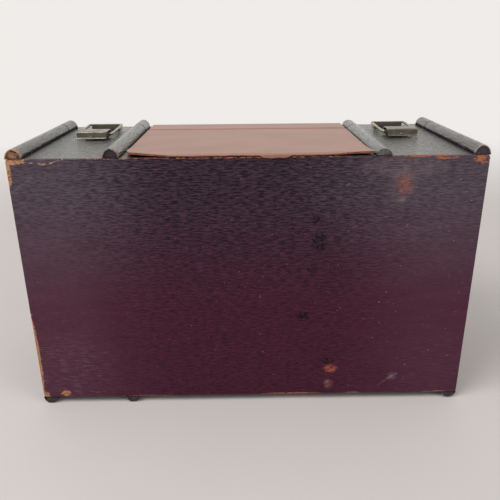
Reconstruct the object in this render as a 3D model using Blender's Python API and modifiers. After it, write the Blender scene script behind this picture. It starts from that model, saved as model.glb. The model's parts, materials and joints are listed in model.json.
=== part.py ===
"""A carrying case for sheet film holders, closed and standing on its foot ribs.

A plywood box covered in leatherette, sawn into a deep case and a shallow lid. The lid turns on two
butt hinges under its lower edge and is held by two draw latches on top. Half-round ribs run from
front to back over the top and underneath, and a leather panel fills the top between the inner ribs.
Metres, +X to the right, +Y from the plain back towards the lid, +Z up. The origin is the middle of
the standing surface.
"""

import math

import bmesh
import bpy
from mathutils import Matrix, Vector

# The covered box, without its ribs
CASE_WIDTH = 0.360
CASE_DEPTH = 0.1565
CASE_HEIGHT = 0.209
LID_DEPTH = 0.0345
PARTING_GAP = 0.0006

# Boards and covering
BOARD = 0.007
PANEL = 0.006
COVER = 0.001
COVER_CORNER = 0.0025
BOARD_EDGE = 0.0004
FIT = 0.0003

# Inside the case
DIVIDER = 0.004
DIVIDER_SETBACK = 0.012
PAD_THICKNESS = 0.010
PAD_MARGIN = 0.002
PAD_EDGE = 0.002

# Half-round ribs, on top and as feet
RIB_WIDTH = 0.0125
RIB_HEIGHT = 0.0074
LOW_RIB_HEIGHT = 0.0053
FOOT_HEIGHT = 0.0062
INNER_RIB_SPACING = 0.2014
LEFT_RIB_SHIFT = 0.0014
RIB_END_ROUNDING = 0.006
FOOT_FLAT = 0.0005
FOOT_SETBACK = 0.008
BROKEN_FOOT_LOSS = 0.014

# Leather panel on top
LEATHER = 0.0016
LEATHER_SIDE_GAP = 0.0016
LEATHER_EDGE_GAP = 0.0008
CORNER_LIFT = 0.0032
CORNER_LIFT_SPAN = 0.060
CORNER_LIFT_DEPTH = 0.034

# Butt hinges under the lid's lower edge
HINGE_WIDTH = 0.036
LEAF_LENGTH = 0.018
LEAF = 0.001
KNUCKLE_RADIUS = 0.002
HINGE_PIN_RADIUS = 0.0009
LID_KNUCKLE_WIDTH = 0.014

# Draw latches on top
LATCH_WIDTH = 0.026
LATCH_INSET = 0.0018
LATCH_SHEET = 0.001
LATCH_BEND = 0.0012
LATCH_CURL = 0.0022
CURL_CLEAR = 0.00025
LATCH_PIN_RADIUS = 0.0009
LEVER_REACH = 0.018
LEVER_LIP = 0.003
LEVER_LIP_CLEAR = 0.0014
BASE_WIDTH = 0.020
BASE_MARGIN = 0.002
BASE_CURL_WIDTH = 0.010
PIN_TO_LINK = 0.009
WIRE_RADIUS = 0.001
LINK_LENGTH = 0.0455
LINK_SIDE_GAP = 0.0015
LINK_CORNER = 0.002
LINK_SLOPE = math.radians(2.7)
HOOK_SETBACK = 0.010
HOOK_CLEARANCE = 0.00035
CATCH_LENGTH = 0.014

# Round-headed nails that hold the latch plates
NAIL_HEAD_RADIUS = 0.0015
NAIL_HEAD_HEIGHT = 0.0008
NAIL_SHANK_RADIUS = 0.0005
NAIL_LENGTH = 0.0065
NAIL_SPACING = 0.013

# Clearances and facets
RUNNING = 0.0002
KNUCKLE_GAP = 0.0004
OVERLAP = 0.00015
ROUND_SIDES = 20
RIB_SIDES = 24
CORNER_STEPS = 4
END_STEPS = 5
LEATHER_COLUMNS = 28
LEATHER_ROWS = 12
STRIP_ROWS = 2
SMOOTH_BELOW = math.radians(40)
WIRE_ROUNDNESS = 2
WELD = 1e-5

# Places that follow from the sizes above
END_X = CASE_WIDTH / 2
NEAR_Y = -CASE_DEPTH / 2
FAR_Y = CASE_DEPTH / 2
BASE_Z = FOOT_HEIGHT - FOOT_FLAT
TOP_Z = BASE_Z + CASE_HEIGHT
PARTING_Y = FAR_Y - LID_DEPTH
CASE_EDGE_Y = PARTING_Y - PARTING_GAP / 2
LID_EDGE_Y = PARTING_Y + PARTING_GAP / 2
SKIN = COVER + FIT
BOARD_X = END_X - SKIN
BOARD_LOW = BASE_Z + SKIN
BOARD_HIGH = TOP_Z - SKIN
INSIDE_X = BOARD_X - BOARD
INSIDE_LOW = BOARD_LOW + BOARD
INSIDE_HIGH = BOARD_HIGH - BOARD
BACK_INNER_Y = NEAR_Y + SKIN + PANEL
LID_INNER_Y = FAR_Y - SKIN - PANEL
OUTER_RIB_X = END_X - RIB_WIDTH / 2
INNER_RIB_X = INNER_RIB_SPACING / 2
BAY_X = (OUTER_RIB_X + INNER_RIB_X) / 2
LATCH_X = BAY_X - LATCH_INSET
HINGE_Z = BASE_Z - FIT - OVERLAP - KNUCKLE_RADIUS
PLATE_Z = TOP_Z + FIT
CURL_Z = PLATE_Z + LATCH_SHEET + CURL_CLEAR + LATCH_CURL
LEVER_TOP_Z = CURL_Z + LATCH_CURL + OVERLAP
HOOK_Y = PARTING_Y + HOOK_SETBACK
BAR_Y = HOOK_Y + LATCH_SHEET + HOOK_CLEARANCE + WIRE_RADIUS
LINK_Y = BAR_Y - LINK_LENGTH * math.cos(LINK_SLOPE)
PIVOT_Y = LINK_Y + PIN_TO_LINK
BAR_Z = CURL_Z + LINK_LENGTH * math.sin(LINK_SLOPE)
HOOK_TOP_Z = BAR_Z - WIRE_RADIUS - HOOK_CLEARANCE
BASE_FAR_Y = PARTING_Y - BASE_MARGIN
BASE_NAIL_Y = (PIVOT_Y + LATCH_CURL + BASE_FAR_Y) / 2
CATCH_NAIL_Y = (BAR_Y + HOOK_Y + CATCH_LENGTH) / 2
SIDES = {"left": -1, "right": 1}

# Scene set-up


def clear_scene():
    for obj in list(bpy.data.objects):
        bpy.data.objects.remove(obj)


def make_collection(name):
    collection = bpy.data.collections.new(name)
    bpy.context.scene.collection.children.link(collection)
    return collection


def make_finish(name, colour, roughness, metallic=0.0):
    finish = bpy.data.materials.new(name)
    finish.use_nodes = True
    shader = finish.node_tree.nodes["Principled BSDF"]
    shader.inputs["Base Color"].default_value = (*colour, 1.0)
    shader.inputs["Roughness"].default_value = roughness
    shader.inputs["Metallic"].default_value = metallic
    finish.diffuse_color = (*colour, 1.0)
    return finish


clear_scene()
PARTS = make_collection("sheet_film_holder_case")
CUTTERS = make_collection("cutters")
LEATHERETTE = make_finish("leatherette", (0.035, 0.016, 0.022), 0.5)
WOOD = make_finish("plywood", (0.52, 0.34, 0.19), 0.65)
LEATHER_FINISH = make_finish("brown_leather", (0.27, 0.12, 0.08), 0.42)
FELT = make_finish("felt", (0.10, 0.13, 0.08), 0.95)
BRONZE = make_finish("latch_bronze", (0.32, 0.26, 0.17), 0.38, 1.0)
STEEL = make_finish("hinge_steel", (0.42, 0.40, 0.37), 0.4, 1.0)

# Modelling helpers


def add_object(name, mesh, finish, location=(0, 0, 0)):
    obj = bpy.data.objects.new(name, mesh)
    obj.location = location
    obj.data.materials.append(finish)
    PARTS.objects.link(obj)
    return obj


def mesh_from(bm, name, smooth=False, closed=True):
    """The finished mesh of a bmesh. A closed one faces out, and round stretches are shaded smooth."""
    if closed:
        bmesh.ops.recalc_face_normals(bm, faces=bm.faces[:])
    mesh = bpy.data.meshes.new(name)
    bm.to_mesh(mesh)
    bm.free()
    if smooth:
        mesh.shade_smooth()
        mesh.set_sharp_from_angle(angle=SMOOTH_BELOW)
    return mesh


def add_cutter(name, mesh, location=(0, 0, 0)):
    cutter = bpy.data.objects.new(name, mesh)
    cutter.location = location
    cutter.hide_render = True
    cutter.display_type = "WIRE"
    CUTTERS.objects.link(cutter)
    return cutter


def boolean(obj, tool, operation):
    modifier = obj.modifiers.new(f"{operation.lower()}_{tool.name}", "BOOLEAN")
    modifier.operation = operation
    modifier.object = tool


def block_mesh(name, size, centre=(0, 0, 0)):
    bm = bmesh.new()
    bmesh.ops.create_cube(bm, size=1.0)
    bmesh.ops.scale(bm, vec=size, verts=bm.verts)
    bmesh.ops.translate(bm, vec=centre, verts=bm.verts)
    return mesh_from(bm, name)


def block(name, low, high, finish, edge=0.0):
    """A board or plate between two corners, with its edges eased."""
    low = Vector(low)
    high = Vector(high)
    obj = add_object(name, block_mesh(name, high - low), finish, (low + high) / 2)
    if edge:
        bevel = obj.modifiers.new("eased_edges", "BEVEL")
        bevel.width = edge
        bevel.segments = 1
    return obj


def rod_mesh(name, radius, length, centres=((0, 0, 0),), axis="X"):
    """One or more round bars along X or Z."""
    bm = bmesh.new()
    turn = Matrix.Rotation(math.pi / 2, 4, "Y") if axis == "X" else Matrix.Identity(4)
    for centre in centres:
        bmesh.ops.create_cone(
            bm,
            cap_ends=True,
            segments=ROUND_SIDES,
            radius1=radius,
            radius2=radius,
            depth=length,
            matrix=Matrix.Translation(centre) @ turn,
        )
    return mesh_from(bm, name, smooth=True)


def corner_arc(centre, radius, start, steps=CORNER_STEPS):
    """Points of a quarter turn, anticlockwise from the start angle."""
    angles = [start + math.pi / 2 * step / steps for step in range(steps + 1)]
    return [(centre[0] + radius * math.cos(a), centre[1] + radius * math.sin(a)) for a in angles]


def rounded_rectangle(half_width, half_height, radius):
    points = []
    for quarter, (side, up) in enumerate(((1, 1), (-1, 1), (-1, -1), (1, -1))):
        centre = (side * (half_width - radius), up * (half_height - radius))
        points += corner_arc(centre, radius, quarter * math.pi / 2)
    return points


def outline_mesh(name, loops, thickness):
    """The solid of a flat outline, where a second loop is a hole, lying in XZ and thick along Y."""
    curve = bpy.data.curves.new(name, "CURVE")
    curve.dimensions = "2D"
    curve.fill_mode = "BOTH"
    curve.extrude = thickness / 2
    for loop in loops:
        spline = curve.splines.new("POLY")
        spline.points.add(len(loop) - 1)
        spline.use_cyclic_u = True
        for point, (x, z) in zip(spline.points, loop):
            point.co = (x, z, 0, 1)
    guide = bpy.data.objects.new(name, curve)
    PARTS.objects.link(guide)
    graph = bpy.context.evaluated_depsgraph_get()
    flat = bpy.data.meshes.new_from_object(guide.evaluated_get(graph))
    bpy.data.objects.remove(guide)
    bm = bmesh.new()
    bm.from_mesh(flat)
    bpy.data.meshes.remove(flat)
    bmesh.ops.remove_doubles(bm, verts=bm.verts, dist=WELD)
    bmesh.ops.rotate(bm, verts=bm.verts, matrix=Matrix.Rotation(math.pi / 2, 3, "X"))
    return mesh_from(bm, name, smooth=True)


def sheet_strip(name, path, width, finish, location):
    """Sheet metal bent along a path in YZ, as wide as given along X."""
    bm = bmesh.new()
    verts = [bm.verts.new((-width / 2, y, z)) for y, z in path]
    edges = [bm.edges.new(pair) for pair in zip(verts, verts[1:])]
    grown = bmesh.ops.extrude_edge_only(bm, edges=edges)["geom"]
    moved = [item for item in grown if isinstance(item, bmesh.types.BMVert)]
    bmesh.ops.translate(bm, vec=(width, 0, 0), verts=moved)
    obj = add_object(name, mesh_from(bm, name, smooth=True, closed=False), finish, location)
    thick = obj.modifiers.new("sheet", "SOLIDIFY")
    thick.thickness = LATCH_SHEET
    thick.offset = 0.0
    thick.use_even_offset = True
    return obj


def hang(pieces, carrier):
    """Parents pieces to the object on their joint's axis, leaving them where they are."""
    for piece in pieces:
        piece.parent = carrier
        piece.matrix_parent_inverse = Matrix.Translation(carrier.location).inverted()


def axis_empty(name, location):
    empty = bpy.data.objects.new(name, None)
    empty.location = location
    empty.empty_display_size = LATCH_WIDTH
    PARTS.objects.link(empty)
    return empty


# The box and its lid


def board_frame(prefix, near, far):
    """The four boards round the case or the lid."""
    pieces = []
    for side, sign in SIDES.items():
        low_x, high_x = sorted((sign * INSIDE_X, sign * BOARD_X))
        low = (low_x, near, BOARD_LOW)
        high = (high_x, far, BOARD_HIGH)
        pieces.append(block(f"{prefix}{side}_end_panel", low, high, WOOD, BOARD_EDGE))
    reach = INSIDE_X - FIT
    for level, low_z, high_z in (
        ("bottom", BOARD_LOW, INSIDE_LOW),
        ("top", INSIDE_HIGH, BOARD_HIGH),
    ):
        low = (-reach, near, low_z)
        high = (reach, far, high_z)
        pieces.append(block(f"{prefix}{level}_panel", low, high, WOOD, BOARD_EDGE))
    return pieces


def wide_panel(name, near, far):
    low = (-BOARD_X, near, BOARD_LOW)
    high = (BOARD_X, far, BOARD_HIGH)
    return block(name, low, high, WOOD, BOARD_EDGE)


def cover_sheet(name, near, far):
    """The leatherette on the case's back or on the front of the lid."""
    outline = rounded_rectangle(END_X, CASE_HEIGHT / 2, COVER_CORNER)
    place = (0, (near + far) / 2, BASE_Z + CASE_HEIGHT / 2)
    return add_object(name, outline_mesh(name, [outline], far - near), LEATHERETTE, place)


def cover_wrap(name, near, far):
    """The leatherette band round the four sides of the case or of the lid."""
    outside = rounded_rectangle(END_X, CASE_HEIGHT / 2, COVER_CORNER)
    x = END_X - COVER
    z = CASE_HEIGHT / 2 - COVER
    inside = [(x, z), (-x, z), (-x, -z), (x, -z)]
    place = (0, (near + far) / 2, BASE_Z + CASE_HEIGHT / 2)
    return add_object(name, outline_mesh(name, [outside, inside], far - near), LEATHERETTE, place)


def divider(name, centre_x):
    low = (centre_x - DIVIDER / 2, BACK_INNER_Y + FIT, INSIDE_LOW + FIT)
    high = (centre_x + DIVIDER / 2, CASE_EDGE_Y - DIVIDER_SETBACK, INSIDE_HIGH - FIT)
    return block(name, low, high, WOOD, BOARD_EDGE)


def lid_pad():
    reach = INSIDE_X - PAD_MARGIN
    low = (-reach, LID_INNER_Y - FIT - PAD_THICKNESS, INSIDE_LOW + PAD_MARGIN)
    high = (reach, LID_INNER_Y - FIT, INSIDE_HIGH - PAD_MARGIN)
    return block("lid_pad", low, high, FELT, PAD_EDGE)


# Ribs


def half_round(name, centre_x, near, far, seat_z, up, full_height, flat=0.0, rounded=0.0):
    """A half-round strip along Y on its seat, crown up or down, its far end rounded over."""
    height = full_height - FIT
    rounded = min(rounded, height)
    bm = bmesh.new()
    bmesh.ops.create_circle(bm, cap_ends=True, segments=RIB_SIDES, radius=1.0)
    whole = bm.verts[:] + bm.edges[:] + bm.faces[:]
    bmesh.ops.bisect_plane(bm, geom=whole, plane_co=(0, 0, 0), plane_no=(0, 1, 0), clear_inner=True)
    if flat:
        whole = bm.verts[:] + bm.edges[:] + bm.faces[:]
        crown = (0, 1 - flat / height, 0)
        bmesh.ops.bisect_plane(bm, geom=whole, plane_co=crown, plane_no=(0, 1, 0), clear_outer=True)
    bmesh.ops.scale(bm, vec=(RIB_WIDTH / 2, height, 1), verts=bm.verts)
    bmesh.ops.rotate(bm, verts=bm.verts, matrix=Matrix.Rotation(up * math.pi / 2, 3, "X"))
    turns = [math.pi / 2 * step / END_STEPS for step in range(END_STEPS)] if rounded else [0.0]
    face = next(iter(bm.faces))
    size = 1.0
    place = 0.0
    for step, turn in enumerate(turns):
        grown = bmesh.ops.extrude_face_region(bm, geom=[face])["geom"]
        if step:
            bmesh.ops.delete(bm, geom=[face], context="FACES_ONLY")
        face = next(item for item in grown if isinstance(item, bmesh.types.BMFace))
        next_place = far - near - rounded * (1 - math.sin(turn))
        next_size = 1 - rounded / height * (1 - math.cos(turn))
        bmesh.ops.translate(bm, vec=(0, next_place - place, 0), verts=face.verts)
        ratio = next_size / size
        bmesh.ops.scale(bm, vec=(ratio, 1, ratio), verts=face.verts)
        place = next_place
        size = next_size
    mesh = mesh_from(bm, name, smooth=True)
    return add_object(name, mesh, LEATHERETTE, (centre_x, near, seat_z + up * FIT))


def rib_places():
    """Names, middles and heights of the four ribs, from left to right. One is lower than the others."""
    return (
        ("left_outer", -OUTER_RIB_X, RIB_HEIGHT),
        ("left_inner", -INNER_RIB_X - LEFT_RIB_SHIFT, RIB_HEIGHT),
        ("right_inner", INNER_RIB_X, LOW_RIB_HEIGHT),
        ("right_outer", OUTER_RIB_X, RIB_HEIGHT),
    )


def case_ribs():
    for place, x, height in rib_places():
        half_round(f"{place}_rib", x, NEAR_Y, CASE_EDGE_Y, TOP_Z, 1, height)
        lost = BROKEN_FOOT_LOSS if place == "right_inner" else 0.0
        foot_far = CASE_EDGE_Y - FOOT_SETBACK
        half_round(f"{place}_foot", x, NEAR_Y + lost, foot_far, BASE_Z, -1, FOOT_HEIGHT, flat=FOOT_FLAT)


def lid_ribs():
    return [
        half_round(f"lid_{place}_rib", x, LID_EDGE_Y, FAR_Y, TOP_Z, 1, height, rounded=RIB_END_ROUNDING)
        for place, x, height in rib_places()
    ]


# Leather on top


def smooth_rise(value):
    value = min(max(value, 0.0), 1.0)
    return value * value * (3 - 2 * value)


def leather_sheet(name, near, far, rows, lift):
    """Leather between the inner ribs, curling up at its near corners."""
    half = INNER_RIB_X - RIB_WIDTH / 2 - LEATHER_SIDE_GAP
    bm = bmesh.new()
    bmesh.ops.create_grid(bm, x_segments=LEATHER_COLUMNS, y_segments=rows, size=1.0)
    for vert in bm.verts:
        across = vert.co.x
        along = (vert.co.y + 1) / 2
        y = near + along * (far - near)
        from_side = half * (1 - abs(across))
        curl = smooth_rise(1 - from_side / CORNER_LIFT_SPAN)
        curl *= smooth_rise(1 - (y - near) / CORNER_LIFT_DEPTH)
        vert.co = (across * half, y, lift * curl)
    mesh = mesh_from(bm, name, smooth=True, closed=False)
    obj = add_object(name, mesh, LEATHER_FINISH, (0, 0, TOP_Z + FIT))
    thick = obj.modifiers.new("thickness", "SOLIDIFY")
    thick.thickness = LEATHER
    thick.offset = 1.0
    return obj


# Hinges


def hinge_leaf(name, centre_x, towards, knuckles):
    """A leaf on the underside of the case or lid, with its knuckles on the hinge's axis."""
    clear = KNUCKLE_RADIUS + KNUCKLE_GAP
    near, far = sorted((towards * clear, towards * LEAF_LENGTH))
    leaf_z = BASE_Z - FIT - LEAF / 2 - HINGE_Z
    plate_size = (HINGE_WIDTH, far - near, LEAF)
    plate = block_mesh(name, plate_size, (0, (near + far) / 2, leaf_z))
    obj = add_object(name, plate, STEEL, (centre_x, PARTING_Y, HINGE_Z))
    for index, (middle, width) in enumerate(knuckles):
        tab_reach = clear + OVERLAP
        tab_size = (width, tab_reach, LEAF - 2 * OVERLAP)
        tab_centre = (middle, towards * tab_reach / 2, leaf_z - OVERLAP)
        tab = block_mesh(f"{name}_tab_{index}", tab_size, tab_centre)
        boolean(obj, add_cutter(f"{name}_tab_{index}", tab, obj.location), "UNION")
        round_bar = rod_mesh(f"{name}_knuckle_{index}", KNUCKLE_RADIUS, width, [(middle, 0, 0)])
        boolean(obj, add_cutter(f"{name}_knuckle_{index}", round_bar, obj.location), "UNION")
    bore = rod_mesh(f"{name}_bore", HINGE_PIN_RADIUS + RUNNING, 2 * HINGE_WIDTH)
    boolean(obj, add_cutter(f"{name}_bore", bore, obj.location), "DIFFERENCE")
    return obj


def hinge(side, sign):
    """Both leaves and the pin of one hinge. Returns the leaf that moves with the lid."""
    x = sign * BAY_X
    side_width = (HINGE_WIDTH - LID_KNUCKLE_WIDTH) / 2 - KNUCKLE_GAP
    side_middle = (HINGE_WIDTH - side_width) / 2
    outer_knuckles = ((-side_middle, side_width), (side_middle, side_width))
    hinge_leaf(f"{side}_hinge_case_leaf", x, -1, outer_knuckles)
    pin = rod_mesh(f"{side}_hinge_pin", HINGE_PIN_RADIUS, HINGE_WIDTH)
    add_object(f"{side}_hinge_pin", pin, STEEL, (x, PARTING_Y, HINGE_Z))
    return hinge_leaf(f"{side}_hinge_lid_leaf", x, 1, ((0, LID_KNUCKLE_WIDTH),))


# Latches


def bend(corner, radius, start, clockwise=False):
    """Points of a quarter bend about a centre, in YZ."""
    points = corner_arc(corner, radius, start)
    return points[::-1] if clockwise else points


def latch_base(side, x):
    """The plate nailed to the case, with a curl for the lever's pin standing on it."""
    near = PIVOT_Y - LATCH_CURL
    size = (BASE_WIDTH, BASE_FAR_Y - near, LATCH_SHEET)
    plate_z = PLATE_Z + LATCH_SHEET / 2
    centre = (0, (near + BASE_FAR_Y) / 2 - PIVOT_Y, plate_z - CURL_Z)
    name = f"{side}_latch_base"
    obj = add_object(name, block_mesh(name, size, centre), BRONZE, (x, PIVOT_Y, CURL_Z))
    post_height = CURL_Z - plate_z
    post_size = (BASE_CURL_WIDTH, LATCH_CURL, post_height)
    post = block_mesh(f"{name}_post", post_size, (0, 0, -post_height / 2))
    boolean(obj, add_cutter(f"{name}_post", post, obj.location), "UNION")
    curl = rod_mesh(f"{name}_curl", LATCH_CURL, BASE_CURL_WIDTH)
    boolean(obj, add_cutter(f"{name}_curl", curl, obj.location), "UNION")
    bore = rod_mesh(f"{name}_bore", LATCH_PIN_RADIUS + RUNNING, LATCH_WIDTH)
    boolean(obj, add_cutter(f"{name}_bore", bore, obj.location), "DIFFERENCE")
    return obj


def latch_lever(side, x):
    """The bent sheet lever, turning on the pin and carrying the link in its other curl."""
    top = LEVER_TOP_Z - LATCH_SHEET / 2 - CURL_Z
    lip = TOP_Z + LEVER_LIP_CLEAR + LATCH_SHEET / 2 - CURL_Z
    wall = -LEVER_REACH + LATCH_SHEET / 2
    radius = min(LATCH_BEND, (top - lip) / 2)
    path = [(0, top)]
    path += bend((wall + radius, top - radius), radius, math.pi / 2)
    path += bend((wall - radius, lip + radius), radius, -math.pi / 2, clockwise=True)
    path += [(-LEVER_REACH - LEVER_LIP, lip)]
    name = f"{side}_latch_lever"
    obj = sheet_strip(name, path, LATCH_WIDTH, BRONZE, (x, PIVOT_Y, CURL_Z))
    for label, y, pin_radius in (("pivot", 0, LATCH_PIN_RADIUS), ("link", -PIN_TO_LINK, WIRE_RADIUS)):
        curl = rod_mesh(f"{name}_{label}_curl", LATCH_CURL, LATCH_WIDTH, [(0, y, 0)])
        boolean(obj, add_cutter(f"{name}_{label}_curl", curl, obj.location), "UNION")
        bore = rod_mesh(f"{name}_{label}_bore", pin_radius + RUNNING, 2 * LATCH_WIDTH, [(0, y, 0)])
        boolean(obj, add_cutter(f"{name}_{label}_bore", bore, obj.location), "DIFFERENCE")
    clear = LATCH_CURL + KNUCKLE_GAP
    notch_size = (BASE_CURL_WIDTH + 2 * KNUCKLE_GAP, 2 * clear, LEVER_REACH)
    notch = block_mesh(f"{name}_notch", notch_size)
    boolean(obj, add_cutter(f"{name}_notch", notch, obj.location), "DIFFERENCE")
    return obj


def latch_link(side, x):
    """The wire loop that reaches from the lever over the catch's hook."""
    half = LATCH_WIDTH / 2 + LINK_SIDE_GAP + WIRE_RADIUS
    corners = ((half, LINK_LENGTH), (-half, LINK_LENGTH), (-half, 0), (half, 0))
    points = []
    for quarter, (corner_x, corner_y) in enumerate(corners):
        centre_x = corner_x - math.copysign(LINK_CORNER, corner_x)
        centre_y = corner_y + (LINK_CORNER if corner_y == 0 else -LINK_CORNER)
        points += corner_arc((centre_x, centre_y), LINK_CORNER, quarter * math.pi / 2)
    name = f"{side}_latch_link"
    curve = bpy.data.curves.new(name, "CURVE")
    curve.dimensions = "3D"
    curve.bevel_depth = WIRE_RADIUS
    curve.bevel_resolution = WIRE_ROUNDNESS
    spline = curve.splines.new("POLY")
    spline.points.add(len(points) - 1)
    spline.use_cyclic_u = True
    for point, (local_x, local_y) in zip(spline.points, points):
        point.co = (local_x, local_y, 0, 1)
    obj = add_object(name, curve, BRONZE, (x, LINK_Y, CURL_Z))
    obj.rotation_euler = (LINK_SLOPE, 0, 0)
    return obj


def latch_catch(side, x):
    """The plate nailed to the lid, with the wall that the link hooks behind."""
    plate = LATCH_SHEET / 2
    wall = LATCH_SHEET / 2
    top = HOOK_TOP_Z - PLATE_Z
    path = [(wall, top)]
    path += bend((wall + LATCH_BEND, plate + LATCH_BEND), LATCH_BEND, math.pi)
    path += [(CATCH_LENGTH, plate)]
    place = (x, HOOK_Y, PLATE_Z)
    return sheet_strip(f"{side}_latch_catch", path, LATCH_WIDTH, BRONZE, place)


def nail(name, x, y, seat_z):
    """A round-headed nail, its head on the plate and its shank down through it."""
    bm = bmesh.new()
    profile = [(0, NAIL_HEAD_HEIGHT)]
    for step in range(1, CORNER_STEPS):
        turn = math.pi / 2 * step / CORNER_STEPS
        profile.append((NAIL_HEAD_RADIUS * math.sin(turn), NAIL_HEAD_HEIGHT * math.cos(turn)))
    profile += [(NAIL_HEAD_RADIUS, 0), (NAIL_SHANK_RADIUS, 0)]
    profile += [(NAIL_SHANK_RADIUS, -NAIL_LENGTH), (0, -NAIL_LENGTH - NAIL_SHANK_RADIUS)]
    verts = [bm.verts.new((radius, 0, z)) for radius, z in profile]
    for pair in zip(verts, verts[1:]):
        bm.edges.new(pair)
    obj = add_object(name, mesh_from(bm, name, closed=False), BRONZE, (x, y, seat_z + FIT))
    turned = obj.modifiers.new("turned", "SCREW")
    turned.steps = ROUND_SIDES // 2
    turned.render_steps = ROUND_SIDES // 2
    turned.use_merge_vertices = True
    turned.merge_threshold = WELD
    return obj


def nail_places(y):
    return [(sign * LATCH_X + half * NAIL_SPACING / 2, y) for sign in (-1, 1) for half in (-1, 1)]


def nail_row(prefix, y):
    """The four nails of the latch plates on the case or on the lid, from left to right."""
    seat = PLATE_Z + LATCH_SHEET
    return [
        nail(f"{prefix}_nail_{index}", x, place_y, seat)
        for index, (x, place_y) in enumerate(nail_places(y), start=1)
    ]


def drill(name, y, pieces):
    """The nails' holes, through the plates and the covering into the board."""
    bottom = PLATE_Z + LATCH_SHEET - NAIL_LENGTH - NAIL_HEAD_RADIUS
    top = PLATE_Z + LATCH_SHEET + NAIL_HEAD_RADIUS
    centres = [(x, place_y, (bottom + top) / 2) for x, place_y in nail_places(y)]
    holes = rod_mesh(name, NAIL_SHANK_RADIUS + FIT, top - bottom, centres, axis="Z")
    cutter = add_cutter(name, holes)
    for piece in pieces:
        boolean(piece, cutter, "DIFFERENCE")


# Assembly


def build_case():
    boards = board_frame("", BACK_INNER_Y + FIT, CASE_EDGE_Y)
    wide_panel("back_panel", NEAR_Y + SKIN, BACK_INNER_Y)
    cover_sheet("back_cover", NEAR_Y, NEAR_Y + COVER)
    wrap = cover_wrap("case_wrap", NEAR_Y + SKIN, CASE_EDGE_Y)
    for side, sign in SIDES.items():
        divider(f"{side}_divider", sign * INSIDE_X / 3)
    case_ribs()
    leather_near = NEAR_Y + LEATHER_EDGE_GAP
    leather_far = CASE_EDGE_Y - LEATHER_EDGE_GAP
    leather_sheet("leather_panel", leather_near, leather_far, LEATHER_ROWS, CORNER_LIFT)
    return wrap, boards[-1]


def build_lid():
    boards = board_frame("lid_", LID_EDGE_Y, LID_INNER_Y - FIT)
    wrap = cover_wrap("lid_wrap", LID_EDGE_Y, FAR_Y - SKIN)
    pieces = [wide_panel("lid_panel", LID_INNER_Y, FAR_Y - SKIN), wrap, lid_pad()]
    pieces.append(cover_sheet("lid_cover", FAR_Y - COVER, FAR_Y))
    strip_near = LID_EDGE_Y + LEATHER_EDGE_GAP
    strip_far = FAR_Y - LEATHER_EDGE_GAP
    pieces.append(leather_sheet("lid_leather_strip", strip_near, strip_far, STRIP_ROWS, 0.0))
    return boards + pieces + lid_ribs(), wrap, boards[-1]


def build():
    case_wrap, top_panel = build_case()
    lid_pieces, lid_wrap, lid_top_panel = build_lid()
    bases = []
    catches = []
    for side, sign in SIDES.items():
        x = sign * LATCH_X
        lid_pieces.append(hinge(side, sign))
        bases.append(latch_base(side, x))
        pin = rod_mesh(f"{side}_latch_pin", LATCH_PIN_RADIUS, LATCH_WIDTH)
        add_object(f"{side}_latch_pin", pin, BRONZE, (x, PIVOT_Y, CURL_Z))
        lever = latch_lever(side, x)
        hang([latch_link(side, x)], lever)
        catches.append(latch_catch(side, x))
    nail_row("base", BASE_NAIL_Y)
    lid_pieces += catches + nail_row("catch", CATCH_NAIL_Y)
    drill("base_nail_holes", BASE_NAIL_Y, bases + [case_wrap, top_panel])
    drill("catch_nail_holes", CATCH_NAIL_Y, catches + [lid_wrap, lid_top_panel])
    hang(lid_pieces, axis_empty("lid_axis", (0, PARTING_Y, HINGE_Z)))


build()
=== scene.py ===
"""The looks of a carrying case for sheet film holders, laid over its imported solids.

Grained leatherette covers the boards, ribs and feet, rubbed at the corners and worn through to its backing
along the edges. A leather panel lies on top with its near corners curling up. The latches are tarnished
plated brass, the hinges dull steel, and the inside is bare plywood with a felt pad in the lid.
Metres, in the part's own frame: +X right, +Y towards the lid, +Z up.
"""

import json
import math
from collections import namedtuple

import bmesh
import bpy
from mathutils import Matrix, Vector, noise


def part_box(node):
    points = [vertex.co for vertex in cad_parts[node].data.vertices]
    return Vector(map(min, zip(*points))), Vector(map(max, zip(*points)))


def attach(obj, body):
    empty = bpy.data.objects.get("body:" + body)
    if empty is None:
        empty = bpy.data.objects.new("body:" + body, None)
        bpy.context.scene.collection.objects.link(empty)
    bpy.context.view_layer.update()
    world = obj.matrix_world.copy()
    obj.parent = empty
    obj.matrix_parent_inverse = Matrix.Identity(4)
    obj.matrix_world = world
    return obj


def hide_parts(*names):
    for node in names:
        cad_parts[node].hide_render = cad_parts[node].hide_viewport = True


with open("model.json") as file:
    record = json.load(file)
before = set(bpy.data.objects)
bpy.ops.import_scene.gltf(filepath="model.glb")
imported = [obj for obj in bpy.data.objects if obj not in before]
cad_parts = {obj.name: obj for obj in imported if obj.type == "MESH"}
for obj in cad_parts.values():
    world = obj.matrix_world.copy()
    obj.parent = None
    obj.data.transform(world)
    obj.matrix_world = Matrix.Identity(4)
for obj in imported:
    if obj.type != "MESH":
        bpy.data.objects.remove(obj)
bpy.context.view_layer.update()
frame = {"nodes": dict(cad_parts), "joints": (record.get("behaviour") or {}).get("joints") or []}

# Places taken from the frame
BACK_LOW, BACK_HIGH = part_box("back_cover")
LEATHER_LOW, LEATHER_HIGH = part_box("leather_panel")
PIVOTS = {joint["name"]: Vector(joint["pos_m"]) for joint in frame["joints"]}
HALF_X = BACK_HIGH.x
HALF_Z = (BACK_HIGH.z - BACK_LOW.z) / 2
MIDDLE_Z = (BACK_HIGH.z + BACK_LOW.z) / 2
NEAR_Y = BACK_LOW.y
SIDES = ("left", "right")
RIBS = ("left_outer", "left_inner", "right_inner", "right_outer")

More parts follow.
